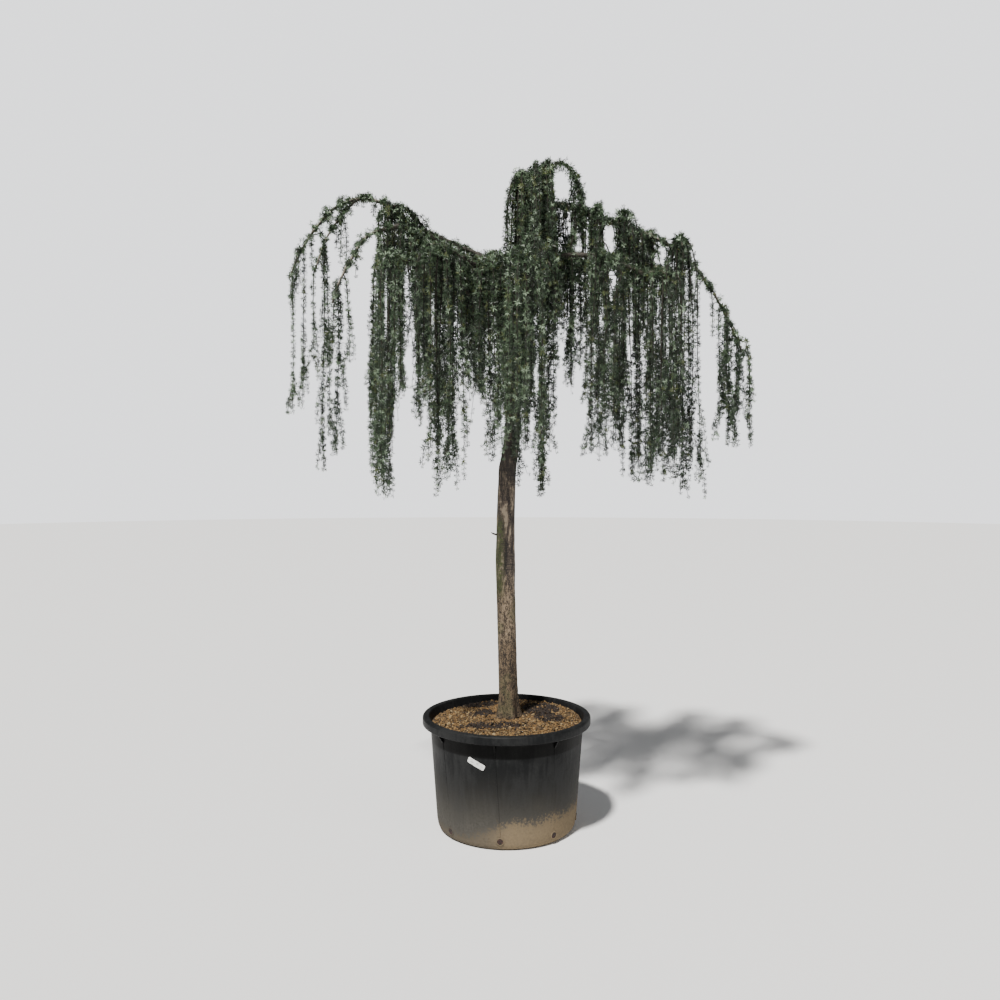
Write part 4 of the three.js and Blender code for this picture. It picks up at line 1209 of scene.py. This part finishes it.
def grow_mass(foliage, index, mass, trunk):
    """Strands that hang from one stem, spread evenly over the space in plan by the golden angle."""
    random = np.random.default_rng(SEED + SEED_STEP * (index + 1))
    stem, _ = stem_of(mass)
    centre, spread = np.array(mass.centre), np.array(mass.spread)
    away = np.linalg.norm((stem[:, :2] - centre) / (spread + STEM_ENTRY), axis=1)
    entry = (int(np.argmax(away < 1)) + 1) / len(stem)
    heading = unit(stem[-1, :2] - at_share(stem, entry)[:2])
    count = max(3, round(mass.fill * math.pi * spread[0] * spread[1] / STRAND_GAP**2))
    for number in range(count):
        angle = number * GOLDEN_ANGLE + index
        reach = math.sqrt((number + 0.5) / count)
        place = centre + spread * reach * (math.cos(angle), math.sin(angle))
        ahead = float((place - centre) @ heading) / max(spread)
        start = at_share(stem, mix(entry, 1, mix(*STRAND_ROOTS, (ahead + 1) / 2)))
        end = mix(*mass.hem, random.random()) if number else mass.hem[0]
        if number and random.random() < mass.short:
            end = mix(end, stem[-1][2], SHORT_REACH * random.random())
        sway = STRAND_SWAY * (random.random(2) - 0.5)
        lift = mix(*mass.lift, random.random())
        lift *= min(1, np.linalg.norm(place - start[:2]) / LIFT_RUN)
        line = waved(hanging_line(start, np.array([*place, end]), lift, sway), random, STRAND_WAVE)
        line = trimmed(parted(even(line, 60)))
        if line is None or touches(line, trunk):
            continue
        inside = reach < 0.5 and mass.fill >= 1
        # Inner strands are dealt mostly shade colours, as painted shade
        dealt = DEALT_SHADED_INSIDE if inside else DEALT_OUTSIDE[random.integers(*mass.tones)]
        size = mass.size * mix(*ROPE_SIZE, random.random())
        bare = mix(*BARE_INSIDE, random.random()) if inside else 0
        foliage.leafy_twig(line, STRAND_RADIUS, dealt, random, size, bare, mass.dense)
        gap = INSIDE_SHOOT_GAP if inside else SHOOT_GAP
        floor = max(mass.hem[0], end - SHOOT_PAST)
        side_shoots(foliage, line, dealt, random, floor, size, gap, mass.dense)


def dress_limb(foliage, line, cover, random, trunk):
    """Short sprigs all round a limb, and shoots that hang from it."""
    length = line_length(line)
    _, across, over = directions(line)
    for _ in range(int(length * (1 - cover.first) / cover.gap)):
        along = length * mix(cover.first, 1, random.random())
        if cover.clump:
            along = cover.clump * (round(along / cover.clump) + 0.2 * random.standard_normal())
        share = min(1, max(0, along / length))
        at = min(int(share * (len(line) - 1)), len(line) - 2)
        out = around(math.tau * random.random(), across[at], over[at])
        out = unit(out + (0, 0, cover.lift) + 0.3 * random.standard_normal(3))
        size = mix(*cover.sprig, random.random() ** 1.5)
        middle = line[at] + 0.6 * size * out
        tip = line[at] + size * out + (0, 0, -SPRIG_DROOP * size)
        sprig = smooth_line([line[at], middle, tip], 12)
        # Sprigs on limbs are dealt more pale needles, as painted light on top
        foliage.leafy_twig(sprig, SHOOT_RADIUS, DEALT_LIT_ON_TOP, random, TOP_SPRAY_SIZE)
    for _ in range(int(length * (1 - cover.first) / cover.hang_gap)):
        start = at_share(line, mix(cover.first, 1, random.random()))
        turn = math.tau * random.random()
        drop = mix(*cover.hang, random.random())
        reach = mix(*cover.reach, random.random())
        lean = cover.forward * random.random()
        low = start + (reach * math.cos(turn), reach * math.sin(turn) - lean, -drop)
        shoot = even(waved(hanging_line(start, low, cover.rise, (0, 0)), random, SHOOT_WAVE), 40)
        if not (touches(shoot, trunk) or open_to_sky(shoot, PARTED_GAPS + HEM_GAPS, ROPE_RADIUS).any()):
            foliage.leafy_twig(shoot, STRAND_RADIUS, DEALT_OUTSIDE[random.integers(3)], random)


def make_foliage():
    foliage = Foliage()
    trunk = limbs["trunk"][0]
    for index, mass in enumerate(MASSES.values()):
        grow_mass(foliage, index, mass, trunk)
    random = np.random.default_rng(SEED)
    for name, (line, _) in limbs.items():
        dress_limb(foliage, line, LEAFY_LIMBS.get(name, Cover()), random, trunk)
    for mass in MASSES.values():
        dress_limb(foliage, stem_of(mass)[0], THIN_STEM_COVER if mass.fill < 1 else STEM_COVER, random, trunk)
    for heap in (foliage.twigs, *foliage.needles):
        heap.finish_pieces()


# Studio


def make_camera():
    camera = bpy.data.cameras.new("camera")
    camera.sensor_width = SENSOR_WIDTH
    camera.lens = LENS
    camera.shift_y = FRAME_DROP
    holder = put("camera", camera, CAMERA_PLACE)
    holder.rotation_euler = (math.pi / 2, 0, 0)
    bpy.context.scene.camera = holder


def make_floor():
    shape = bmesh.new()
    bmesh.ops.create_circle(shape, cap_ends=True, segments=96, radius=30)
    mesh = bpy.data.meshes.new("floor")
    shape.to_mesh(mesh)
    shape.free()
    mesh.materials.append(Finish("pale_floor").paint((0.9, 0.9, 0.9), 0.9))
    put("floor", mesh, (0, 0, -0.0005))


def make_lamp(name, kind, power, colour, place, target, **settings):
    lamp = bpy.data.lights.new(name, kind)
    lamp.energy = power
    lamp.color = colour
    for setting, value in settings.items():
        setattr(lamp, setting, value)
    way = Vector(target) - Vector(place)
    put(name, lamp, place).rotation_euler = way.to_track_quat("-Z", "Y").to_euler()


def make_light():
    world = bpy.data.worlds.new("studio")
    bpy.context.scene.world = world
    world.use_nodes = True
    nodes, links = world.node_tree.nodes, world.node_tree.links
    background = nodes["Background"]
    background.inputs["Color"].default_value = (0.97, 0.98, 1, 1)
    strength = nodes.new("ShaderNodeMapRange")
    strength.inputs["To Min"].default_value = SKY_LIGHT
    strength.inputs["To Max"].default_value = SKY_SEEN
    links.new(nodes.new("ShaderNodeLightPath").outputs["Is Camera Ray"], strength.inputs["Value"])
    links.new(strength.outputs[0], background.inputs["Strength"])
    make_lamp("key", "SUN", SUN_POWER, (1, 0.98, 0.94), SUN_FROM, (0, 0, 0), angle=math.radians(5))
    make_lamp("fill", "AREA", FILL_POWER, (1, 1, 1), FILL_FROM, FILL_TARGET, shape="DISK", size=FILL_SIZE)


make_camera()
make_light()
make_floor()
make_pot()
make_label()
make_soil()
make_chips()
make_trunk()
make_boughs()
make_foliage()
